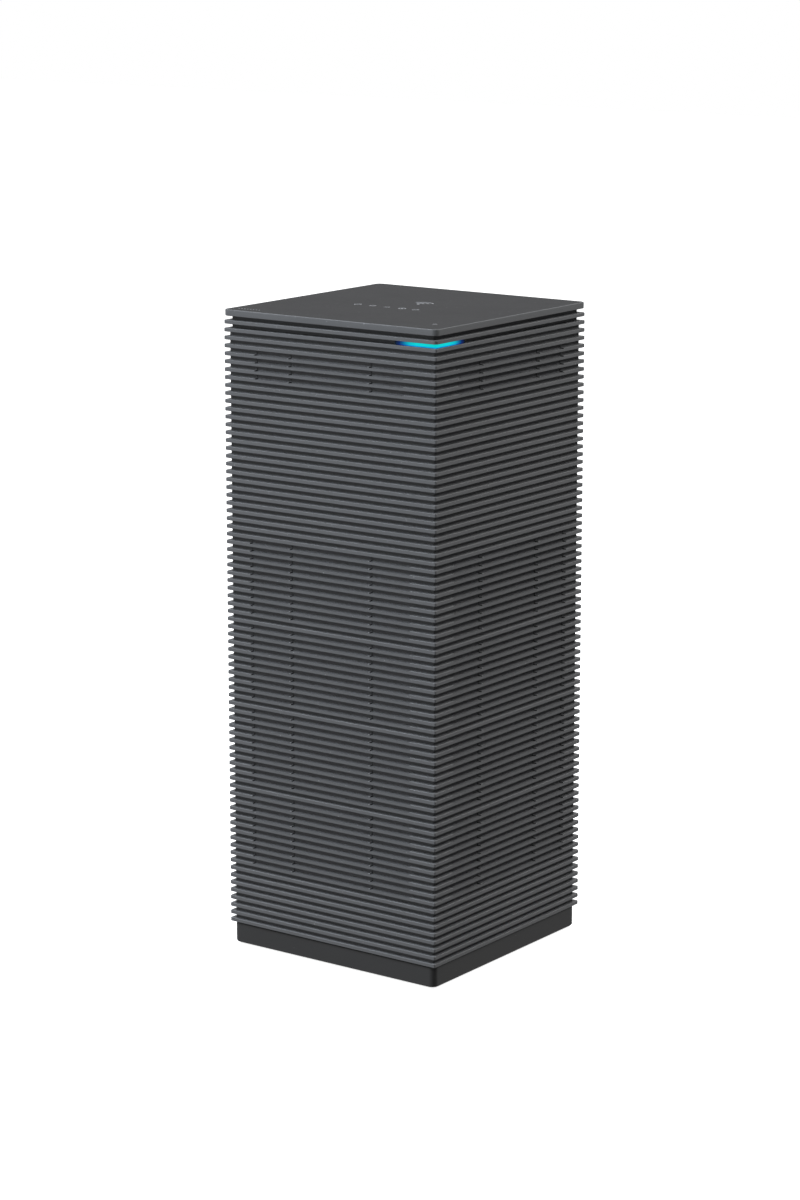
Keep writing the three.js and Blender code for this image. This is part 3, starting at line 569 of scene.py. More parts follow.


# Its groove floors, and the cap's neck, carry painted shade below groove_half.
CASING_PLASTIC = FleckedPlastic("casing_flecked_graphite", (0.056, 0.0572, 0.0596), gloss=0.3, groove_half=36.27)
SLOT_PLASTIC = FleckedPlastic(
    "casing_slot_unpolished", (0.062, 0.0632, 0.0655), fleck_share=0.0, roughness=0.8, gloss=0.2
)
LID_PLASTIC = FleckedPlastic("lid_edge_graphite", (0.056, 0.0572, 0.0596), gloss=0.3)
# The lid's top face: the lid plastic, matt and painted much darker, as shade on the top face.
LID_TOP_SHADED_PLASTIC = FleckedPlastic(
    "lid_top_matt_painted_shade", (0.0078, 0.0078, 0.0086), fleck=(0.1, 0.1, 0.1), fleck_share=0.05, roughness=0.62, gloss=0.13,
    flow=0.0,
)
PLINTH_PLASTIC = MattPlastic("plinth_smooth_black", (0.0135, 0.0135, 0.0138), roughness=0.5, gloss=0.28)
PANEL_PLASTIC = MattPlastic("panel_spark_textured", (0.018, 0.0185, 0.0195), roughness=0.6, grain_depth=0.05)
SOCKET_PLASTIC = MattPlastic("socket_black_nylon", (0.012, 0.012, 0.013), roughness=0.45)
BUTTON_PLASTIC = MattPlastic("button_satin_grey", (0.07, 0.072, 0.076), roughness=0.42, gloss=0.5)
FRAME_PLASTIC = MattPlastic("chassis_grey_plastic", (0.27, 0.275, 0.28), roughness=0.6)
FOOT_RUBBER = FootRubber("foot_black_rubber", (0.013, 0.013, 0.013))
PIPE_LIT = LitPipe("status_pipe_lit", (0.001, 0.006, 0.008))
LED_LENS = Lens("status_led_milky", (0.75, 0.78, 0.66))
WINDOW_GREEN = Lens("link_window_green", (0.05, 0.2, 0.07))
WINDOW_AMBER = Lens("link_window_amber", (0.3, 0.16, 0.03))
BOARD_MASK = SolderMask("board_green_mask", (0.012, 0.085, 0.035))
CHIP_EPOXY = ChipMould("chip_black_epoxy", (0.014, 0.0145, 0.016))
SHIELD_TIN = BareMetal("shield_tinned_steel", (0.6, 0.6, 0.59), roughness=0.3)
CAN_TIN = BareMetal("can_drawn_tin", (0.55, 0.55, 0.54), roughness=0.36, lay=Lay.ALONG_X)
SINK_ALUMINIUM = BareMetal("sink_extruded_aluminium", (0.72, 0.73, 0.74), roughness=0.38)
SCREW_ZINC = BareMetal("screw_zinc_plate", (0.5, 0.51, 0.53), roughness=0.34, tarnish_share=0.4)
BALLAST_ZINC = BareMetal("ballast_zinc_plate", (0.42, 0.43, 0.44), roughness=0.46, lay=Lay.ALONG_X, tarnish_share=0.45)
CONTACT_GOLD = BareMetal("contact_gold_plate", (0.85, 0.6, 0.25), roughness=0.24, tarnish_share=0.08)
PIN_BRASS = BareMetal("pin_brass", (0.7, 0.5, 0.22), roughness=0.28, lay=Lay.ALONG_Y, tarnish_share=0.12)
ANTENNA_BRASS = BareMetal("antenna_brass", (0.66, 0.46, 0.2), roughness=0.34, tarnish_share=0.3)
HEAT_PAD = SiliconePad("heat_pad_blue_grey", (0.27, 0.36, 0.46))
LEAD_JACKET = Jacket("antenna_lead_jacket", (0.05, 0.052, 0.056))
RIBBON_JACKET = Jacket("ribbon_white_jacket", (0.66, 0.67, 0.68), rib=(0.5, 0.0, 0.0))
# A dark cloth whose tone stands in for the shade seen through the air slots.
VENT_SHADE_CLOTH = ShadeCloth("vent_shade_cloth", (0.08, 0.081, 0.085))
LID_INK = PadInk("lid_grey_ink", (0.21, 0.215, 0.225))
PANEL_INK = PadInk("panel_white_ink", (0.62, 0.63, 0.64), wear=0.15)


# ---------------------------------------------------------------- shaping


class Cut(Enum):
    """How a second shape changes a piece."""

    AWAY = "DIFFERENCE"
    ONTO = "UNION"


class Shaper:
    """A mesh in the making, in millimetres."""

    def __init__(self) -> None:
        """Starts with nothing."""
        self.mesh = bmesh.new()

    @staticmethod
    def new(made: Iterable[Any], kind: type) -> list[Any]:
        """Those of an operator's results that are of one kind."""
        return [item for item in made if isinstance(item, kind)]

    def outline(
        self,
        half: tuple[float, float],
        height: float,
        corner: float = 0.0,
        steps: int = 6,
        centre: tuple[float, float] = (0.0, 0.0),
    ) -> Ring:
        """A level rounded rectangle, as a face.

        Args:
            half: half its width and half its depth.
            height: its height.
            corner: the radius of its corners.
            steps: segments to a corner.
            centre: the middle of it.

        Returns:
            The edges round it.
        """
        known = set(self.mesh.faces)
        verts = bmesh.ops.create_grid(self.mesh, x_segments=1, y_segments=1, size=1.0)["verts"]
        bmesh.ops.scale(self.mesh, vec=(half[0], half[1], 1.0), verts=verts)
        bmesh.ops.translate(self.mesh, vec=(centre[0], centre[1], height), verts=verts)
        if corner > 0:
            bmesh.ops.bevel(
                self.mesh, geom=verts, offset=corner, affect="VERTICES", segments=steps, profile=0.5, material=-1
            )
        face = next(face for face in self.mesh.faces if face not in known)
        return list(face.edges)

    def open(self, ring: Ring) -> Ring:
        """Takes away the face that a ring goes round, and gives the ring back."""
        shared = set(ring[0].link_faces)
        for edge in ring[1:]:
            shared &= set(edge.link_faces)
        bmesh.ops.delete(self.mesh, geom=list(shared), context="FACES_ONLY")
        return ring

    def step(self, ring: Ring, half: float, height: float) -> Ring:
        """Draws a ring round the axis out to the next one.

        Args:
            ring: the edges to draw out.
            half: half the new ring's width.
            height: the new ring's height.

        Returns:
            The new ring's edges.
        """
        made = bmesh.ops.extrude_edge_only(self.mesh, edges=ring)["geom"]
        verts = self.new(made, bmesh.types.BMVert)
        now = max(vert.co.x for vert in verts)
        bmesh.ops.scale(self.mesh, vec=(half / now, half / now, 1.0), verts=verts)
        bmesh.ops.translate(self.mesh, vec=(0.0, 0.0, height - verts[0].co.z), verts=verts)
        return [edge for edge in self.new(made, bmesh.types.BMEdge) if edge.is_boundary]

    def steps(self, ring: Ring, stations: Iterable[tuple[float, float]]) -> Ring:
        """Draws a ring through several stations of half width and height, and gives back the last."""
        for half, height in stations:
            ring = self.step(ring, half, height)
        return ring

    def cap(self, ring: Ring) -> None:
        """Closes a ring with one face."""
        bmesh.ops.contextual_create(self.mesh, geom=ring)

    def join(self, first: Ring, last: Ring) -> None:
        """Bridges two rings."""
        bmesh.ops.bridge_loops(self.mesh, edges=first + last)

    def box(self, low: Sequence[float], high: Sequence[float]) -> list[bmesh.types.BMVert]:
        """A block between two corners; gives back its vertices."""
        middle = (Vector(low) + Vector(high)) / 2
        size = Vector(high) - Vector(low)
        matrix = Matrix.Translation(middle) @ Matrix.Diagonal((*size, 1.0))
        return bmesh.ops.create_cube(self.mesh, size=1.0, matrix=matrix)["verts"]

    def turned(
        self, profile: Sequence[tuple[float, float]], centre: Sequence[float], sides: int = 40
    ) -> list[bmesh.types.BMVert]:
        """A closed round piece, turned about the Y direction.

        Args:
            profile: its radius and its place along Y, from one end on the axis to the other.
            centre: where its axis stands.
            sides: facets round it.

        Returns:
            Its vertices.
        """
        known = set(self.mesh.verts)
        line = [self.mesh.verts.new((radius, along, 0.0)) for radius, along in profile]
        edges = [self.mesh.edges.new(pair) for pair in zip(line, line[1:])]
        bmesh.ops.spin(
            self.mesh, geom=line + edges, cent=(0, 0, 0), axis=(0, 1, 0), angle=math.tau, steps=sides, use_merge=True
        )
        made = [vert for vert in self.mesh.verts if vert not in known]
        bmesh.ops.remove_doubles(self.mesh, verts=made, dist=0.001)
        made = [vert for vert in self.mesh.verts if vert not in known]
        bmesh.ops.translate(self.mesh, vec=centre, verts=made)
        return made

    def rod(self, centre: Sequence[float], radius: float, low: float, high: float, sides: int = 24) -> None:
        """An upright round bar from one height to another."""
        matrix = Matrix.Translation((centre[0], centre[1], (low + high) / 2))
        bmesh.ops.create_cone(
            self.mesh, cap_ends=True, segments=sides, radius1=radius, radius2=radius, depth=high - low, matrix=matrix
        )

    def strip(self, path: Sequence[tuple[float, float]], x: float, width: float, thickness: float) -> None:
        """A flat wire bent through points of (y, z), at one x.

        Args:
            path: the points of its middle line.
            x: the middle of its width.
            width: its width along X.
            thickness: its thickness.
        """
        points = [Vector((x, y, z)) for y, z in path]
        ways = [(after - before).normalized() for before, after in zip(points, points[1:])]
        ways = [ways[0]] + [(a + b).normalized() for a, b in zip(ways, ways[1:])] + [ways[-1]]
        facing = Vector((0.0, 0.0, 1.0)).rotation_difference(ways[0]).to_matrix().to_4x4()
        facing = Matrix.Translation(points[0]) @ facing @ Matrix.Diagonal((width, thickness, 1.0, 1.0))
        known = set(self.mesh.faces)
        bmesh.ops.create_grid(self.mesh, x_segments=1, y_segments=1, size=0.5, matrix=facing)
        front = [face for face in self.mesh.faces if face not in known]
        for index, (before, after) in enumerate(zip(points, points[1:])):
            made = bmesh.ops.extrude_face_region(self.mesh, geom=front)["geom"]
            if index:
                bmesh.ops.delete(self.mesh, geom=front, context="FACES_ONLY")
            verts = self.new(made, bmesh.types.BMVert)
            bmesh.ops.translate(self.mesh, vec=after - before, verts=verts)
            spin = ways[index].rotation_difference(ways[index + 1]).to_matrix()
            bmesh.ops.rotate(self.mesh, cent=after, matrix=spin, verts=verts)
            front = self.new(made, bmesh.types.BMFace)

    def ease(self, offset: float, segments: int = 2, least: float = 50.0) -> "Shaper":
        """Rounds every edge that turns by more than least degrees, and gives the shaper back."""
        sharp = [
            edge for edge in self.mesh.edges
            if len(edge.link_faces) == 2 and edge.calc_face_angle(0.0) > math.radians(least)
        ]
        bmesh.ops.bevel(
            self.mesh, geom=sharp, offset=offset, affect="EDGES", segments=segments, profile=0.5,
            material=-1, clamp_overlap=True,
        )
        return self

    def thing(self, name: str) -> bpy.types.Object:
        """The finished mesh as an object in metres, at the origin."""
        bmesh.ops.remove_doubles(self.mesh, verts=self.mesh.verts, dist=0.0005)
        bmesh.ops.recalc_face_normals(self.mesh, faces=self.mesh.faces)
        bmesh.ops.scale(self.mesh, vec=(MM, MM, MM), verts=self.mesh.verts)
        data = bpy.data.meshes.new(name)
        self.mesh.to_mesh(data)
        self.mesh.free()
        return put(name, data)


def put(name: str, data: bpy.types.ID) -> bpy.types.Object:
    """Puts a mesh, lamp or camera in the scene as a new object."""
    made = bpy.data.objects.new(name, data)
    bpy.context.scene.collection.objects.link(made)
    return made


def bake(thing: bpy.types.Object) -> None:
    """Applies what modifiers a thing has."""
    seen = thing.evaluated_get(bpy.context.evaluated_depsgraph_get())
    old, thing.data = thing.data, bpy.data.meshes.new_from_object(seen)
    thing.modifiers.clear()
    bpy.data.meshes.remove(old)


def change(thing: bpy.types.Object, how: Cut, shape: Shaper, slot: int = 0) -> None:
    """Cuts a shape away from a thing or joins it on.

    Args:
        thing: what is changed.
        how: which of the two.
        shape: the second shape, which is used up.
        slot: the material slot that the new faces take.
    """
    for face in shape.mesh.faces:
        face.material_index = slot
    other = shape.thing(thing.name + "_tool")
    modifier = thing.modifiers.new("change", "BOOLEAN")
    modifier.operation, modifier.object, modifier.solver = how.value, other, "MANIFOLD"
    bake(thing)
    spare = other.data
    bpy.data.objects.remove(other)
    bpy.data.meshes.remove(spare)


def shade_edges(thing: bpy.types.Object, angle: float = 32.0) -> None:
    """Shades small facets smoothly and keeps wide faces and hard edges flat."""
    thing.data.shade_smooth()
    thing.data.set_sharp_from_angle(angle=math.radians(angle))
    modifier = thing.modifiers.new("normals", "WEIGHTED_NORMAL")
    modifier.keep_sharp = True
    bake(thing)


def fit(
    thing: bpy.types.Object,
    finish: Finish,
    stands_for: Sequence[str] = (),
    body: str = CASING,
    angle: float = 32.0,
) -> bpy.types.Object:
    """Puts a finished piece into the frame.

    Args:
        thing: the piece.
        finish: what it is dressed in.
        stands_for: the CAD nodes that it replaces.
        body: the CAD body that it rides on.
        angle: the least turn, in degrees, that is shaded as a hard edge.

    Returns:
        The piece.
    """
    shade_edges(thing, angle)
    finish.dress(thing)
    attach(thing, body)
    if stands_for:
        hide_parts(*stands_for)
    LOG.info("%s on %s, %d faces", thing.name, body, len(thing.data.polygons))
    return thing


def box_mm(node: str) -> tuple[Vector, Vector]:
    """A CAD node's lowest and highest corners in millimetres."""
    low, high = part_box(node)
    return low / MM, high / MM


def axis_of(node: str) -> tuple[float, float, float]:
    """Where a round CAD node's axis, which runs along Y, stands."""
    low, high = box_mm(node)
    return (low.x + high.x) / 2, 0.0, (low.z + high.z) / 2


def four_corners(half: float) -> list[tuple[float, float]]:
    """The corners of a square about the axis."""
    return [(x * half, y * half) for x in (-1, 1) for y in (-1, 1)]


# ---------------------------------------------------------------- sub-assemblies


@dataclass
class FinStack:
    """The levels of the fins and grooves, counted from the top."""

    top: float = 188.1
    bottom: float = 7.0
    count: int = 79
    groove: float = 1.2

    @property
    def pitch(self) -> float:
        """From one fin to the next."""
        return (self.top - self.bottom) / self.count

    def fin_top(self, fin: int) -> float:
        """The height of a fin's upper face."""
        return self.top - self.groove - (fin - 1) * self.pitch

    def fin_bottom(self, fin: int) -> float:
        """The height of a fin's lower face."""
        return self.top - fin * self.pitch


@dataclass
class VentBlock:
    """A run of grooves that have air slots in their floors."""

    first: int
    last: int
    half: float


@dataclass
class RibbedCasing:
    """The finned square tube, its air slots and the opening for the back panel."""

    fins: FinStack = field(default_factory=FinStack)
    fin_half: float = 37.37
    floor_half: float = 36.17
    inner_half: float = 34.67
    corner: float = 0.45
    edge: float = 0.11
    slot_height: float = 1.37
    slot_drop: float = 0.27
    web_place: float = 14.2
    web_width: float = 0.5
    bar_width: float = 1.4
    bar_gap: float = 0.25
    bar_depth: float = 1.0
    cloth_half: float = 36.02
    cloth_rim: float = 0.3
    cloth_thickness: float = 0.15
    vents: tuple[VentBlock, ...] = (
        VentBlock(5, 8, 26.2), VentBlock(29, 38, 28.5), VentBlock(40, 49, 28.5),
        VentBlock(51, 60, 28.5), VentBlock(62, 71, 28.5),
    )
    post_side: float = 7.9
    post_root: float = 0.375
    screw_place: float = 30.5
    screw_bore: float = 1.45

    def build(self, panel: "BackPanel") -> None:
        """Makes the casing, open for a back panel."""
        thing = self._tube().thing("casing_ribbed")
        for finish in (CASING_PLASTIC, SLOT_PLASTIC):
            thing.data.materials.append(finish.material())
        change(thing, Cut.ONTO, self._posts())
        change(thing, Cut.AWAY, self._bores())
        for block in self.vents:
            change(thing, Cut.AWAY, self._slots(block, panel), 1)
        for bar in self._bars():
            change(thing, Cut.ONTO, bar)
        opening = Shaper()
        opening.box((-panel.half, self.inner_half - 1.5, panel.low), (panel.half, 40.0, panel.high))
        change(thing, Cut.AWAY, opening)
        fit(thing, CASING_PLASTIC, ["casing_sleeve"])
        thing.material_slots[1].material = SLOT_PLASTIC.material()
        # A dark sheet behind the slots, standing in for the shade seen through them.
        fit(self._cloth(panel).thing("vent_shade_sheet"), VENT_SHADE_CLOTH)

    def _tube(self) -> Shaper:
        """The tube with all its fins."""
        shaper, edge = Shaper(), self.edge
        half = (self.fin_half - edge, self.fin_half - edge)
        first = shaper.open(shaper.outline(half, self.fins.fin_bottom(self.fins.count), self.corner))
        ring = first
        for fin in range(self.fins.count, 1, -1):
            low, high = self.fins.fin_bottom(fin), self.fins.fin_top(fin)
            stations = [(self.fin_half, low + edge), (self.fin_half, high - edge), (self.fin_half - edge, high)]
            if fin > 2:
                above = self.fins.fin_bottom(fin - 1)
                stations += [(self.floor_half, high), (self.floor_half, above), (self.fin_half - edge, above)]
            ring = shaper.steps(ring, stations)
        top, bottom = self.fins.fin_top(2), self.fins.fin_bottom(self.fins.count)
        shaper.join(first, shaper.steps(ring, [(self.inner_half, top), (self.inner_half, bottom)]))
        return shaper

    def _walls(self, shaper: Shaper, verts: list[bmesh.types.BMVert], turns: int) -> None:
        """Turns what was made for the front wall to another wall."""
        matrix = Matrix.Rotation(turns * math.pi / 2, 3, "Z")
        bmesh.ops.rotate(shaper.mesh, cent=(0, 0, 0), matrix=matrix, verts=verts)

    def _bars(self) -> Iterable[Shaper]:
        """Upright bars just behind the slots, bridged to the wall at the closed grooves."""
        fins, inner = self.fins, self.inner_half
        half = self.bar_width / 2
        for turns in range(4):
            lower = self.vents[1:] if turns != 2 else self.vents[1:3]
            for place in (-self.web_place, self.web_place):
                for blocks in (self.vents[:1], lower):
                    closed = [blocks[0].first - 1] + [block.last + 1 for block in blocks]
                    low, high = fins.fin_top(closed[-1]), fins.fin_bottom(closed[0] - 1)
                    tip = -inner + self.bar_depth
                    runs = [(-inner + self.bar_gap, low, high)]
                    runs += [(-inner - 0.3, fins.fin_top(groove), fins.fin_bottom(groove - 1)) for groove in closed]
                    for near, foot, head in runs:
                        bar = Shaper()
                        self._walls(bar, bar.box((place - half, near, foot), (place + half, tip, head)), turns)
                        yield bar

    def _posts(self) -> Shaper:
        """The blocks in the corners that the base screws bite into."""
        shaper, tip = Shaper(), box_mm("base_screw_1")[1].z
        low, high = tip - 8.0, tip + 3.5
        wall = self.inner_half + self.post_root
        for x, y in four_corners(1.0):
            far, near = (x * wall, y * wall), (x * (wall - self.post_side), y * (wall - self.post_side))
            shaper.box((*map(min, far, near), low), (*map(max, far, near), high))
        return shaper

    def _bores(self) -> Shaper:
        """The screws' bores in the posts."""
        shaper, tip = Shaper(), box_mm("base_screw_1")[1].z
        for spot in four_corners(self.screw_place):
            shaper.rod(spot, self.screw_bore, tip - 12.0, tip + 1.0, 20)
        return shaper

    def _slots(self, block: VentBlock, panel: "BackPanel") -> Shaper:
        """The air slots of one block, cut a little into the fin below and parted by thin webs."""
        shaper = Shaper()
        web = (self.web_place - self.web_width / 2, self.web_place + self.web_width / 2)
        spans = [(-block.half, -web[1]), (-web[0], web[0]), (web[1], block.half)]
        clear = self.fins.fin_top(block.last + 1) > panel.high + panel.lip
        for groove in range(block.first, block.last + 1):
            low = self.fins.fin_top(groove) - self.slot_drop
            high = low + self.slot_height
            for turns in (0, 1, 2, 3) if clear else (0, 1, 3):
                for near, far in spans:
                    verts = shaper.box((near, -self.fin_half - 1.0, low), (far, -self.inner_half + 0.1, high))
                    self._walls(shaper, verts, turns)
        return shaper

    def _cloth(self, panel: "BackPanel") -> Shaper:
        """Dark cloth moulded into each wall, part of the way in behind the slots: a sheet that stands in for the shade
        seen through them.
        """
        shaper, outer, rim = Shaper(), self.cloth_half, self.cloth_rim
        for block in self.vents:
            low = self.fins.fin_top(block.last) - self.slot_drop - rim
            high = self.fins.fin_bottom(block.first - 1) + rim
            clear = low > panel.high + panel.lip
            for turns in (0, 1, 2, 3) if clear else (0, 1, 3):
                wide = block.half + rim
                verts = shaper.box((-wide, -outer, low), (wide, -outer + self.cloth_thickness, high))
                self._walls(shaper, verts, turns)
        return shaper


@dataclass
class TopAssembly:
    """The lid, the cap with the first fin beneath it, and the small marks printed on the lid."""

    fins: FinStack = field(default_factory=FinStack)
    half: float = 37.5
    corner: float = 0.9
    lid_edge: float = 0.2
    lid_drop: float = 0.03
    boss_half: float = 20.0
    neck_half: float = 35.85
    skirt_half: float = 34.52
    skirt_inner: float = 32.92
    seat_gap: float = 0.1
    slip: float = 0.15
    edge: float = 0.13

    def build(self) -> None:
        """Makes the lid, the cap and the marks."""
        self._lid()
        self._cap()
        self._marks()

    def _lid(self) -> None:
        """The slab on top, with a fine eased edge and a boss below; its top face takes a darker material, as painted
        shade.
        """
        low, high = box_mm("top_plate")
        shaper, top, edge = Shaper(), high.z - self.lid_drop, self.lid_edge
        ring = shaper.outline((self.boss_half, self.boss_half), low.z, self.corner, 8)
        ring = shaper.steps(ring, [
            (self.boss_half, self.fins.top), (self.half - 0.15, self.fins.top), (self.half, self.fins.top + 0.15),
            (self.half, top - edge), (self.half - edge * 0.3, top - edge * 0.3), (self.half - edge, top),
        ])
        shaper.cap(ring)
        lid = fit(shaper.thing("lid_slab"), LID_PLASTIC, ["top_plate"], angle=50.0)
        # Painted shade: faces on the top take the darker, matt lid-top material.
        lid.data.materials.append(LID_TOP_SHADED_PLASTIC.material())
        for face in lid.data.polygons:
            if face.center.z > (top - 0.01) * MM:
                face.material_index = 1

    def _cap(self) -> None:
        """The deck with the first fin, the skirt inside the casing and the notch for the light."""
        low, high = box_mm("top_cap")
        fins, edge, shaper = self.fins, self.edge, Shaper()
        deck, fin_top, seat = fins.fin_bottom(1), fins.fin_top(1), fins.fin_top(2) + self.seat_gap
        inner = (self.skirt_inner, self.skirt_inner)
        first = shaper.outline(inner, deck, self.corner)
        recess = self.boss_half + self.slip
        ring = shaper.steps(first, [
            (self.skirt_inner, low.z), (self.skirt_half, low.z), (self.skirt_half, seat), (self.neck_half, seat),
            (self.neck_half, deck), (self.half - edge, deck), (self.half, deck + edge), (self.half, fin_top - edge),
            (self.half - edge, fin_top), (self.neck_half, fin_top), (self.neck_half, high.z),
            (recess, high.z), (recess, fins.top - 0.9),
        ])
        shaper.cap(ring)
        thing = shaper.thing("cap_first_fin")
        change(thing, Cut.AWAY, StatusLight().outline(self.slip, seat - 1.0, deck + 0.05))
        pegs, (board_low, board_high) = Shaper(), box_mm("led_board")
        for x, y in ((board_high.x - 2, board_high.y - 2), (board_low.x + 2, board_high.y - 2)):
            pegs.rod((x, y), 0.9, board_low.z - 0.4, deck + 0.6, 16)
        change(thing, Cut.ONTO, pegs)
        fit(thing, CASING_PLASTIC, ["top_cap"])

    def _marks(self) -> None:
        """Plain printed shapes: a row of five, signal arcs above them, and a dotted line near one edge."""
        marks = Marks()
        for x, sides in ((-12.5, 32), (-7.2, 4), (-1.9, 3), (3.3, 32), (8.1, 4)):
            marks.ring((x, -6.4), 1.0, 0.22, sides)
        marks.dot((3.3, -6.4), 0.3)
        for radius in (1.7, 3.1, 4.5):
            marks.arc((1.4, 4.0), radius, 0.26, math.radians(45), math.radians(90))
        marks.dot((1.4, 4.1), 0.45)
        for index in range(8):
            marks.dot((-34.6 + index * 1.05, -33.6), 0.22)
        marks.ring((30.5, -28.3), 0.55, 0.16, 24)
        top = box_mm("top_plate")[1].z
        thing = marks.stand(Matrix.Translation((0, 0, top - self.lid_drop)), self.lid_drop * 0.8, "lid_marks")
        fit(thing, LID_INK)


class Marks(Shaper):
    """Small flat shapes for printing, drawn about the origin of a plane."""

    def dot(self, spot: tuple[float, float], radius: float, sides: int = 20) -> None:
        """A filled disc."""
        matrix = Matrix.Translation((*spot, 0.0))
        bmesh.ops.create_circle(self.mesh, cap_ends=True, segments=sides, radius=radius, matrix=matrix)

    def bar(self, spot: tuple[float, float], width: float, height: float) -> None:
        """A filled rectangle."""
        matrix = Matrix.Translation((*spot, 0.0)) @ Matrix.Diagonal((width, height, 1.0, 1.0))
        bmesh.ops.create_grid(self.mesh, x_segments=1, y_segments=1, size=0.5, matrix=matrix)

    def ring(self, spot: tuple[float, float], radius: float, stroke: float, sides: int) -> None:
        """An outlined disc, or an outlined figure of few sides."""
        self.arc(spot, radius, stroke, math.pi / 2 if sides != 4 else math.pi / 4, math.tau, sides)

    def arc(
        self, spot: tuple[float, float], radius: float, stroke: float, start: float, sweep: float, steps: int = 20
    ) -> None:
        """A curved stroke.

        Args:
            spot: the centre that it goes round.
            radius: its middle radius.
            stroke: its width.
            start: the angle that it starts at.
            sweep: the angle that it covers.
            steps: segments along it.
        """
        way = Vector((math.cos(start), math.sin(start), 0.0))
        centre = Vector((*spot, 0.0))
        ends = [self.mesh.verts.new(centre + way * (radius + side * stroke / 2)) for side in (-1, 1)]
        edge = self.mesh.edges.new(ends)
        bmesh.ops.spin(
            self.mesh, geom=ends + [edge], cent=centre, axis=(0, 0, 1), angle=sweep, steps=steps,
            use_merge=math.isclose(sweep, math.tau),
        )

    def stand(self, plane: Matrix, thickness: float, name: str) -> bpy.types.Object:
        """Gives the shapes a thickness and puts them on a plane.

        Args:
            plane: the plane's place and turn, in millimetres.
            thickness: how far they stand out.
            name: the object's name.

        Returns:
            The object.
        """
        made = bmesh.ops.extrude_face_region(self.mesh, geom=list(self.mesh.faces), use_keep_orig=True)["geom"]
        bmesh.ops.translate(self.mesh, vec=(0, 0, thickness), verts=self.new(made, bmesh.types.BMVert))
        bmesh.ops.transform(self.mesh, matrix=plane, verts=self.mesh.verts)
        return self.thing(name)


@dataclass
class StatusLight:
    """The bent light pipe that shows as a glowing line round the front right corner."""

    outer: float = 37.0
    leg: float = 14.0
    width: float = 7.5
    corner: float = 0.5
    edge: float = 0.1

    def outline(self, grown: float, low: float, high: float) -> Shaper:
        """The pipe's L, grown all round and drawn up between two heights."""
        shaper = Shaper()
        far = self.outer + 10 * grown
        near, side = self.outer - self.leg - grown, self.outer - self.width - grown
        points = [(near, -far), (far, -far), (far, -near), (side, -near), (side, -side), (near, -side)]
        verts = [shaper.mesh.verts.new((x, y, low)) for x, y in points]
        face = shaper.mesh.faces.new(verts)
        made = bmesh.ops.extrude_face_region(shaper.mesh, geom=[face], use_keep_orig=True)["geom"]
        moved = shaper.new(made, bmesh.types.BMVert)
        bmesh.ops.translate(shaper.mesh, vec=(0, 0, high - low), verts=moved)
        return shaper

    def build(self) -> None:
        """Makes the pipe."""
        low, high = box_mm("light_pipe")
        shaper = self.outline(0.0, low.z, high.z)
        upright = [
            edge for edge in shaper.mesh.edges
            if all(math.hypot(v.co.x - self.outer, v.co.y + self.outer) < 0.01 for v in edge.verts)
        ]
        bmesh.ops.bevel(
            shaper.mesh, geom=upright, offset=self.corner, affect="EDGES", segments=6, profile=0.5, material=-1
        )
        fit(shaper.ease(self.edge, 2).thing("status_light_pipe"), PIPE_LIT, ["light_pipe"])


@dataclass
class Plinth:
    """The smooth base under the fins and the rubber pad that the tower stands on."""

    half: float = 36.6
    corner: float = 1.7
    foot_edge: float = 0.55
    top_edge: float = 0.22
    rim_half: float = 33.6
    spigot_half: float = 34.52
    spigot_inner: float = 32.92
    shoulder: float = 6.7
    floor: float = 3.7
    recess_top: float = 1.7
    screw_place: float = 30.5
    post_radius: float = 3.6
    bore: float = 1.45
    head_bore: float = 2.65
    pad_groove: float = 0.5

    def build(self) -> None:
        """Makes the base and its pad."""
        self._base()
        self._pad()

    def _base(self) -> None:
        """A tray with an eased outline, a spigot, and posts for the base screws."""
        low, high = box_mm("base_plinth")
        shaper, half, foot = Shaper(), self.half, self.foot_edge
        ring = shaper.outline((self.rim_half, self.rim_half), self.recess_top, self.corner, 10)
        ring = shaper.steps(ring, [
            (self.rim_half, low.z), (half - foot, low.z), (half - foot * 0.3, low.z + foot * 0.3), (half, low.z + foot),
            (half, self.shoulder - self.top_edge), (half - self.top_edge, self.shoulder),
            (self.spigot_half, self.shoulder), (self.spigot_half, high.z - 0.3), (self.spigot_half - 0.3, high.z),
            (self.spigot_inner, high.z), (self.spigot_inner, self.floor),
        ])
        shaper.cap(ring)
        thing = shaper.thing("plinth_base")
        posts, bores = Shaper(), Shaper()
        head = box_mm("base_screw_1")[0].z + 1.4
        for spot in four_corners(self.screw_place):
            posts.rod(spot, self.post_radius, self.recess_top + 0.5, high.z - 0.01, 32)
            bores.rod(spot, self.bore, 0.2, high.z + 1, 24)
            bores.rod(spot, self.head_bore, 0.1, head, 24)
        change(thing, Cut.ONTO, posts)
        change(thing, Cut.AWAY, bores)
        fit(thing, PLINTH_PLASTIC, ["base_plinth"], angle=40.0)

    def _pad(self) -> None:
        """The foot pad, with a shallow groove round its underside."""
        low, high = box_mm("foot_pad")
        half, groove, shaper = high.x, self.pad_groove, Shaper()
        ring = shaper.outline((half - 6.0, half - 6.0), low.z, self.corner, 8)
        ring = shaper.steps(ring, [
            (half - 5.6, low.z + groove), (half - 4.4, low.z + groove), (half - 4.0, low.z), (half - 0.35, low.z),
            (half, low.z + 0.35), (half, high.z),
        ])
        shaper.cap(ring)
        fit(shaper.thing("foot_rubber_pad"), FOOT_RUBBER, ["foot_pad"], angle=50.0)


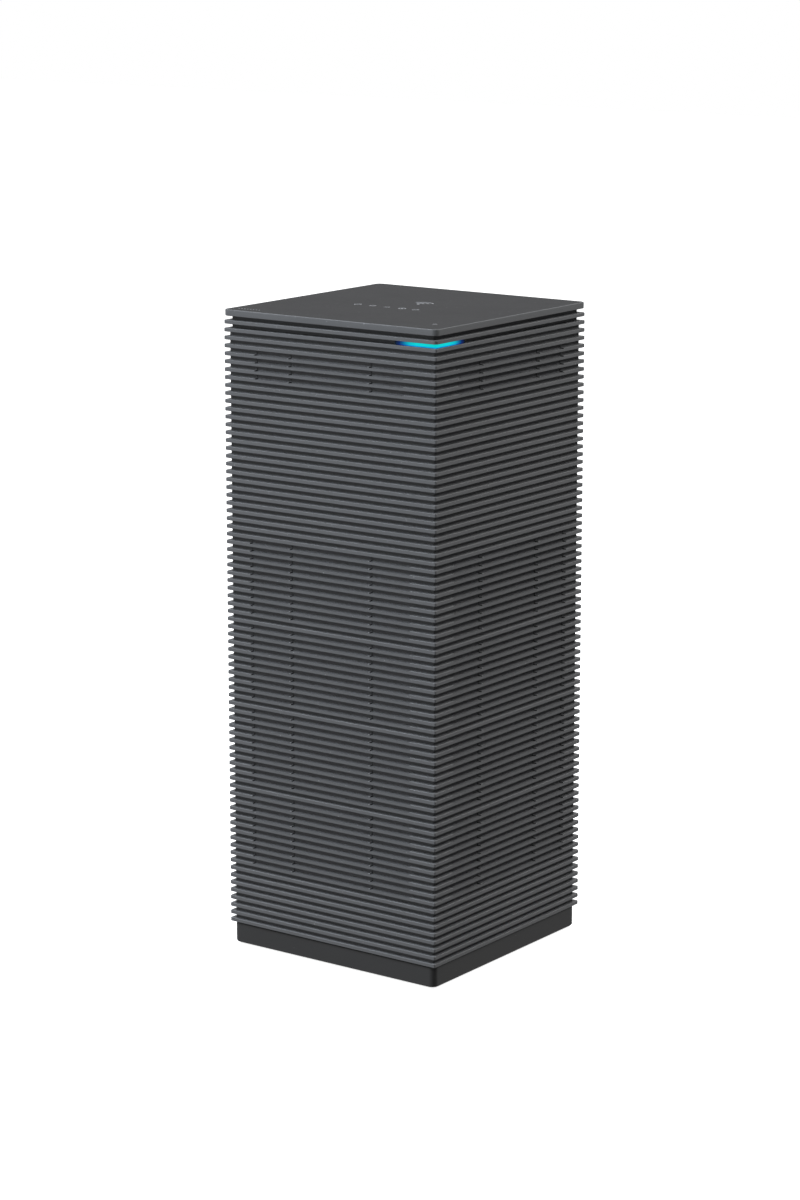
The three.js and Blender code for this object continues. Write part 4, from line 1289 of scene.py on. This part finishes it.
@dataclass
class NetworkSocket:
    """One network socket: a tinned shield, a nylon insert, eight gold contacts and two link windows."""

    node: str
    width: float = 16.0
    height: float = 13.6
    plug_width: float = 11.9
    plug_height: float = 6.9
    plug_depth: float = 13.0
    latch_width: float = 6.2
    latch_depth: float = 1.7
    sheet: float = 0.3
    seam: float = 0.14
    lead_in: float = 0.45
    window: tuple[float, float] = (2.6, 1.9)
    contact_pitch: float = 1.02

    def build(self) -> None:
        """Makes the socket's pieces where its CAD node is."""
        low, high = box_mm(self.node)
        self.x, _, self.z = axis_of(self.node)
        self.face, self.back = high.y, low.y
        self._shield()
        self._insert()
        self._contacts()
        self._windows()

    def _block(self, shaper: Shaper, half: tuple[float, float], y: tuple[float, float], rise: float = 0.0) -> None:
        """A block about the socket's axis."""
        shaper.box((self.x - half[0], y[0], self.z + rise - half[1]), (self.x + half[0], y[1], self.z + rise + half[1]))

    def _shield(self) -> None:
        """The folded metal box round the insert."""
        half = (self.width / 2, self.height / 2)
        body, hollow = Shaper(), Shaper()
        self._block(body, half, (self.back, self.face))
        thing = body.ease(0.25, 3).thing(self.node + "_shield")
        self._block(hollow, (half[0] - self.sheet, half[1] - self.sheet), (self.back + self.sheet, self.face + 1))
        change(thing, Cut.AWAY, hollow)
        change(thing, Cut.AWAY, self._seams(half))
        fit(thing, SHIELD_TIN, [self.node])

    def _seams(self, half: tuple[float, float]) -> Shaper:
        """Fine gaps where the shield's sheet folds meet at the face."""
        shaper = Shaper()
        for side in (-1, 1):
            x = self.x + side * half[0] * 0.62
            low = (x - self.seam / 2, self.face - 1.6, self.z + half[1] - 0.6)
            shaper.box(low, (x + self.seam / 2, self.face + 0.5, self.z + half[1] + 0.5))
        return shaper

    def _insert(self) -> None:
        """The nylon block with the plug's opening, its latch way and lead-in edges."""
        half = (self.width / 2 - self.sheet - 0.02, self.height / 2 - self.sheet - 0.02)
        body = Shaper()
        self._block(body, half, (self.back + 0.4, self.face - 0.25))
        thing = body.ease(0.12, 2).thing(self.node + "_insert")
        floor, mouth = self.face - self.plug_depth, self.face + 1
        hole, latch, windows = Shaper(), Shaper(), Shaper()
        self._block(hole, (self.plug_width / 2, self.plug_height / 2), (floor, mouth))
        rise = -(self.plug_height + self.latch_depth) / 2 + 0.05
        self._block(latch, (self.latch_width / 2, self.latch_depth / 2 + 0.05), (floor, mouth), rise)
        change(thing, Cut.AWAY, hole)
        change(thing, Cut.AWAY, latch)
        lead, slope = Shaper(), self.lead_in
        grown = (self.plug_width / 2 + slope, self.plug_height / 2 + slope)
        self._block(lead, grown, (self.face - 0.25 - slope, mouth))
        for vert in lead.mesh.verts:
            if vert.co.y < self.face - 0.3:
                vert.co.x += math.copysign(slope, self.x - vert.co.x)
                vert.co.z += math.copysign(slope, self.z - vert.co.z)
        change(thing, Cut.AWAY, lead)
        for side in (-1, 1):
            self._window_box(windows, side, 0.06, 2.4, 1.0)
        change(thing, Cut.AWAY, windows)
        fit(thing, SOCKET_PLASTIC)

    def _window_box(self, shaper: Shaper, side: int, grown: float, deep: float, proud: float) -> None:
        """The block of one link window, at the top left or right of the face."""
        x = self.x + side * (self.plug_width / 2 - self.window[0] / 2 + 0.9)
        z = self.z + self.height / 2 - self.sheet - 0.55 - self.window[1] / 2
        half = (self.window[0] / 2 + grown, self.window[1] / 2 + grown)
        near, far = self.face - 0.25 - deep, self.face - 0.25 + proud
        shaper.box((x - half[0], near, z - half[1]), (x + half[0], far, z + half[1]))

    def _windows(self) -> None:
        """The green and the amber window, unlit."""
        for side, finish, name in ((1, WINDOW_GREEN, "green"), (-1, WINDOW_AMBER, "amber")):
            shaper = Shaper()
            self._window_box(shaper, side, 0.0, 2.2, 0.06)
            thing = shaper.ease(0.12, 2).thing(f"{self.node}_window_{name}")
            fit(thing, finish)

    def _contacts(self) -> None:
        """Eight spring wires that come down from the roof of the opening towards its back."""
        shaper = Shaper()
        roof, y = self.z + self.plug_height / 2, self.face
        path = [(y - 12.4, roof - 3.4), (y - 9.4, roof - 2.9), (y - 4.6, roof - 1.35), (y - 3.2, roof - 0.75),
                (y - 2.5, roof - 0.35), (y - 1.7, roof + 0.1)]
        for index in range(8):
            shaper.strip(path, self.x + (index - 3.5) * self.contact_pitch, 0.4, 0.22)
        fit(shaper.thing(self.node + "_contacts"), CONTACT_GOLD)


@dataclass
class PowerJack:
    """The round low-voltage inlet: a block, its spring sleeve and its pin."""

    bore: float = 3.2
    depth: float = 9.5
    sleeve: float = 0.18

    def build(self) -> None:
        """Makes the jack's pieces where its CAD nodes are."""
        (low, high), centre = box_mm("dc_jack"), axis_of("dc_jack")
        face, bore, floor = high.y, self.bore, high.y - self.depth
        body = Shaper()
        body.box(low, high)
        thing = body.ease(0.4, 4).thing("dc_jack_block")
        hole = Shaper()
        mouth = [(bore, face - 0.55), (bore + 0.6, face + 0.05), (0, face + 0.05)]
        hole.turned([(0, floor), (bore, floor)] + mouth, centre, 56)
        change(thing, Cut.AWAY, hole)
        way = Shaper()
        way.turned([(0, floor - 6.0), (1.1, floor - 6.0), (1.1, floor + 1), (0, floor + 1)], centre, 32)
        change(thing, Cut.AWAY, way)
        fit(thing, SOCKET_PLASTIC, ["dc_jack"])
        ring = Shaper()
        inner, outer = bore - self.sleeve, bore - 0.01
        ring.turned([
            (outer, floor + 0.02), (outer, face - 0.8), (inner, face - 0.9), (inner, floor + 0.2),
            (1.2, floor + 0.2), (1.2, floor + 0.02),
        ], centre, 56)
        bmesh.ops.holes_fill(ring.mesh, edges=[e for e in ring.mesh.edges if e.is_boundary], sides=0)
        fit(ring.thing("dc_jack_sleeve"), SHIELD_TIN)
        self._pin(centre)

    def _pin(self, centre: Sequence[float]) -> None:
        """The pin, with a rounded tip."""
        low, high = box_mm("dc_pin")
        shaper, tip, radius = Shaper(), high.y, (high.x - low.x) / 2
        shaper.turned([
            (0, low.y), (radius, low.y), (radius, tip - 0.7), (radius * 0.92, tip - 0.35), (radius * 0.7, tip - 0.12),
            (radius * 0.35, tip - 0.02), (0, tip),
        ], centre, 32)
        fit(shaper.thing("dc_jack_pin"), PIN_BRASS, ["dc_pin"])


@dataclass
class PushButton:
    """One round button: a dished cap, the flange that keeps it in and the stem to its switch."""

    node: str
    radius: float
    dish: float = 0.25
    edge: float = 0.3
    flange: float = 1.1
    flange_face: float = 33.2
    flange_height: float = 1.1
    stem_share: float = 0.42
    least_stem: float = 0.6

    def build(self) -> None:
        """Makes the button where its CAD node is, on its own body."""
        (low, high), centre = box_mm(self.node), axis_of(self.node)
        stem, r, face = max(self.radius * self.stem_share, self.least_stem), self.radius, high.y
        out, under = r + self.flange, self.flange_face - self.flange_height
        shaper = Shaper()
        shaper.turned([
            (0, low.y), (stem - 0.1, low.y), (stem, low.y + 0.1), (stem, under), (out - 0.1, under), (out, under + 0.1),
            (out, self.flange_face - 0.1), (out - 0.1, self.flange_face), (r, self.flange_face),
            (r, face - self.edge), (r - self.edge * 0.3, face - self.edge * 0.3), (r - self.edge, face),
            (r - self.edge * 1.6, face - 0.02), (r * 0.5, face - self.dish * 0.75),
            (r * 0.2, face - self.dish), (0, face - self.dish),
        ], centre, 56)
        fit(shaper.thing(self.node + "_cap"), BUTTON_PLASTIC, [self.node], self.node, angle=40.0)


@dataclass
class BackPanel:
    """The panel that carries the sockets, the power jack and the buttons, and its printed marks."""

    half: float = 28.5
    low: float = 28.724
    high: float = 68.895
    face: float = 36.0
    back: float = 33.3
    lip: float = 1.9
    lip_face: float = 34.57
    slip: float = 0.15
    port_sign: float = 1.6
    control_sign: float = 6.4
    ports: tuple[NetworkSocket, ...] = (
        NetworkSocket("wan_port"), NetworkSocket("lan_port_1"), NetworkSocket("lan_port_2"),
    )
    buttons: tuple[PushButton, ...] = (
        PushButton("power_button", 3.8), PushButton("sync_button", 2.5, dish=0.18, edge=0.22),
        PushButton("reset_button", 0.9, dish=0.08, edge=0.12),
    )

    def build(self) -> None:
        """Makes the panel and all that it carries."""
        self._plate()
        for port in self.ports:
            port.build()
        PowerJack().build()
        for button in self.buttons:
            button.build()
        self._marks()

    def _plate(self) -> None:
        """The panel and its lip, with an aperture for each socket and button."""
        plate = Shaper()
        plate.box(
            (-self.half + self.slip, self.back, self.low + self.slip),
            (self.half - self.slip, self.face, self.high - self.slip),
        )
        thing = plate.ease(0.35, 3).thing("back_panel_plate")
        lip = Shaper()
        lip.box(
            (-self.half - self.lip, self.back, self.low - self.lip),
            (self.half + self.lip, self.lip_face, self.high + self.lip),
        )
        change(thing, Cut.ONTO, lip)
        for shape in self._apertures():
            change(thing, Cut.AWAY, shape)
        fit(thing, PANEL_PLASTIC, ["rear_panel"])

    def _apertures(self) -> Iterable[Shaper]:
        """The shapes cut out of the plate."""
        near, far = self.back - 1, self.face + 1
        for node in ["dc_jack"] + [port.node for port in self.ports]:
            low, high = box_mm(node)
            shape = Shaper()
            shape.box((low.x - self.slip, near, low.z - self.slip), (high.x + self.slip, far, high.z + self.slip))
            yield shape
        for button in self.buttons:
            hole, ease = button.radius + self.slip, min(0.45, button.radius * 0.4)
            shape = Shaper()
            profile = [
                (0, near), (hole, near), (hole, self.face - ease), (hole + ease, self.face), (hole + ease, far), (0, far),
            ]
            shape.turned(profile, axis_of(button.node), 48)
            yield shape

    def _marks(self) -> None:
        """Plain signs: a ring over the first socket, one and two dots over the others, and a sign for each control."""
        marks, ports = Marks(), [port.node for port in self.ports]
        first, second, third = (-axis_of(node)[0] for node in ports)
        power, sync, reset = (-axis_of(button.node)[0] for button in self.buttons)
        above = box_mm(ports[0])[1].z + self.port_sign
        marks.ring((first, above), 0.75, 0.22, 28)
        for x in (second, third - 0.65, third + 0.65):
            marks.dot((x, above), 0.4)
        sign, jack = axis_of(self.buttons[0].node)[2] + self.control_sign, -axis_of("dc_jack")[0]
        marks.arc((power, sign), 1.0, 0.24, math.radians(125), math.radians(290))
        marks.bar((power, sign + 0.75), 0.24, 1.1)
        for start in (20, 200):
            marks.arc((sync, sign), 0.95, 0.24, math.radians(start), math.radians(140))
        marks.ring((reset, sign), 0.6, 0.2, 24)
        marks.dot((jack, sign), 0.35)
        marks.ring((jack, sign), 0.9, 0.22, 28)
        plane = Matrix(((-1, 0, 0, 0), (0, 0, 1, self.face), (0, 1, 0, 0), (0, 0, 0, 1)))
        fit(marks.stand(plane, 0.03, "back_panel_marks"), PANEL_INK)


@dataclass
class Innards:
    """The pieces inside the casing, which keep their CAD shapes and get their finishes."""

    finishes: tuple[tuple[Finish, tuple[str, ...]], ...] = (
        (FRAME_PLASTIC, ("chassis",)),
        (BALLAST_ZINC, ("ballast_plate",)),
        (SCREW_ZINC, ("base_screw_1", "base_screw_2", "base_screw_3", "base_screw_4", "board_screw_1",
                      "board_screw_2", "board_screw_3", "board_screw_4", "sink_screw_1", "sink_screw_2")),
        (BOARD_MASK, ("main_board", "led_board")),
        (LED_LENS, ("status_led_1", "status_led_2", "status_led_3")),
        (SINK_ALUMINIUM, ("heat_sink",)),
        (HEAT_PAD, ("processor_thermal_pad", "radio_thermal_pad")),
        (CAN_TIN, ("shield_can_lower", "shield_can_upper", "supply_capacitor")),
        (CHIP_EPOXY, ("processor_chip", "memory_chip", "lan_transformer", "supply_inductor", "power_switch",
                      "sync_switch", "reset_switch")),
        (ANTENNA_BRASS, ("antenna_1", "antenna_2", "antenna_3", "antenna_4")),
        (LEAD_JACKET, ("antenna_lead_1", "antenna_lead_2", "antenna_lead_3", "antenna_lead_4")),
        (RIBBON_JACKET, ("ribbon_cable",)),
    )

    def build(self) -> None:
        """Dresses the carried CAD nodes."""
        for finish, nodes in self.finishes:
            finish.dress(*(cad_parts[node] for node in nodes))
            LOG.info("%s dresses %d nodes", finish.name, len(nodes))


@dataclass
class Softbox:
    """A square soft lamp that is turned to the tower."""

    name: str
    turn: float
    height: float
    power: float
    tone: Tone
    size: float = 0.32
    distance: float = 1.2
    aim_height: float = 0.1

    def build(self) -> None:
        """Makes the lamp: its turn is in degrees from the front towards the right, its height in degrees."""
        turn, height = math.radians(self.turn), math.radians(self.height)
        away = Vector((math.sin(turn) * math.cos(height), -math.cos(turn) * math.cos(height), math.sin(height)))
        data = bpy.data.lights.new(self.name, "AREA")
        data.shape, data.size, data.energy, data.color = "SQUARE", self.size, self.power, self.tone
        lamp = put(self.name, data)
        lamp.location = Vector((0.0, 0.0, self.aim_height)) + away * self.distance
        lamp.rotation_euler = away.to_track_quat("Z", "Y").to_euler()


@dataclass
class Studio:
    """A pale floor, dim even light, two high softboxes, one to the left and one behind the right, and the camera."""

    azimuth: float = 36.14
    elevation: float = 12.47
    distance: float = 0.970
    lens: float = 98.8
    aim_height: float = 0.095
    focal_px: float = 3277.0
    aside: tuple[float, float] = (5.8, -26.2)
    sky: float = 0.98
    low_sky: float = 0.88
    dim_turn: float = 78.0
    dim_share: float = 0.12
    dim_span: tuple[float, float] = (0.2, 0.9)
    rise_span: tuple[float, float] = (-0.2, 0.5)
    lamps: tuple[Softbox, ...] = (
        Softbox("studio_softbox_left", -35.0, 43.0, 26.0, (0.86, 0.92, 1.0)),
        Softbox("studio_softbox_right", 125.0, 43.0, 15.5, (1.0, 1.0, 1.0)),
    )
    floor_half: float = 3.0

    def build(self) -> None:
        """Makes the floor, the light and the camera."""
        self._floor()
        self._sky()
        for lamp in self.lamps:
            lamp.build()
        self._camera()

    def _floor(self) -> None:
        """A wide plain floor at the foot of the tower."""
        mesh = bmesh.new()
        bmesh.ops.create_grid(mesh, x_segments=1, y_segments=1, size=self.floor_half)
        data = bpy.data.meshes.new("studio_floor")
        mesh.to_mesh(data)
        mesh.free()
        floor = put("studio_floor", data)
        PaleFloor("studio_floor_pale", (0.5, 0.5, 0.5)).dress(floor)
        floor.visible_diffuse = floor.visible_glossy = False

    def _sky(self) -> None:
        """Dim white light from all round and above, weaker from below and from the right."""
        world = bpy.data.worlds.new("studio_sky")
        bpy.context.scene.world = world
        bpy.context.scene.view_settings.view_transform = "Standard"
        sheet, turn = Sheet(world), math.radians(self.dim_turn)
        right = (math.sin(turn), -math.cos(turn), 0.0)
        side = self._fade(sheet, right, self.dim_span, (1.0, self.dim_share))
        height = self._fade(sheet, (0.0, 0.0, 1.0), self.rise_span, (self.low_sky, self.sky))
        seen = sheet.node("LightPath", output="Is Camera Ray")
        sheet.surface(Color=(1.0, 1.0, 1.0), Strength=(side * height).most(seen))

    @staticmethod
    def _fade(sheet: Sheet, axis: Sequence[float], span: tuple[float, float], ends: tuple[float, float]) -> Wire:
        """A smooth change of the sky along one direction.

        Args:
            sheet: the sky's nodes.
            axis: the direction that the change goes along.
            span: where along it the change starts and stops, from -1 to 1.
            ends: the values before and after.

        Returns:
            The value in the direction looked in.
        """
        way = sheet.node("TexCoord", output="Generated")
        along = sheet.node("VectorMath", {"operation": "DOT_PRODUCT"}, {0: way, 1: axis}, "Value")
        return sheet.node("MapRange", {"interpolation_type": "SMOOTHSTEP"}, dict(enumerate((along, *span, *ends))))

    def _camera(self) -> None:
        """The camera, looking down on the front and right faces."""
        turn, tilt = math.radians(self.azimuth), math.radians(self.elevation)
        ahead = Vector((-math.sin(turn) * math.cos(tilt), math.cos(turn) * math.cos(tilt), -math.sin(tilt)))
        right = Vector((math.cos(turn), math.sin(turn), 0.0))
        up = right.cross(ahead)
        step = self.distance / self.focal_px
        data = bpy.data.cameras.new("studio_camera")
        data.lens, data.sensor_width, data.sensor_fit = self.lens, 36.0, "AUTO"
        data.clip_start, data.clip_end = 0.05, 20.0
        camera = put("studio_camera", data)
        camera.location = (
            Vector((0, 0, self.aim_height)) - ahead * self.distance
            - right * self.aside[0] * step - up * self.aside[1] * step
        )
        camera.rotation_euler = ahead.to_track_quat("-Z", "Y").to_euler()
        bpy.context.scene.camera = camera


def main() -> None:
    """Builds the tower's looks and its studio."""
    logging.basicConfig(level=logging.INFO, format="%(message)s")
    panel = BackPanel()
    studio = Studio()
    studio.build()
    RibbedCasing().build(panel)
    TopAssembly().build()
    StatusLight().build()
    Plinth().build()
    panel.build()
    Innards().build()


if __name__ == "__main__":
    main()
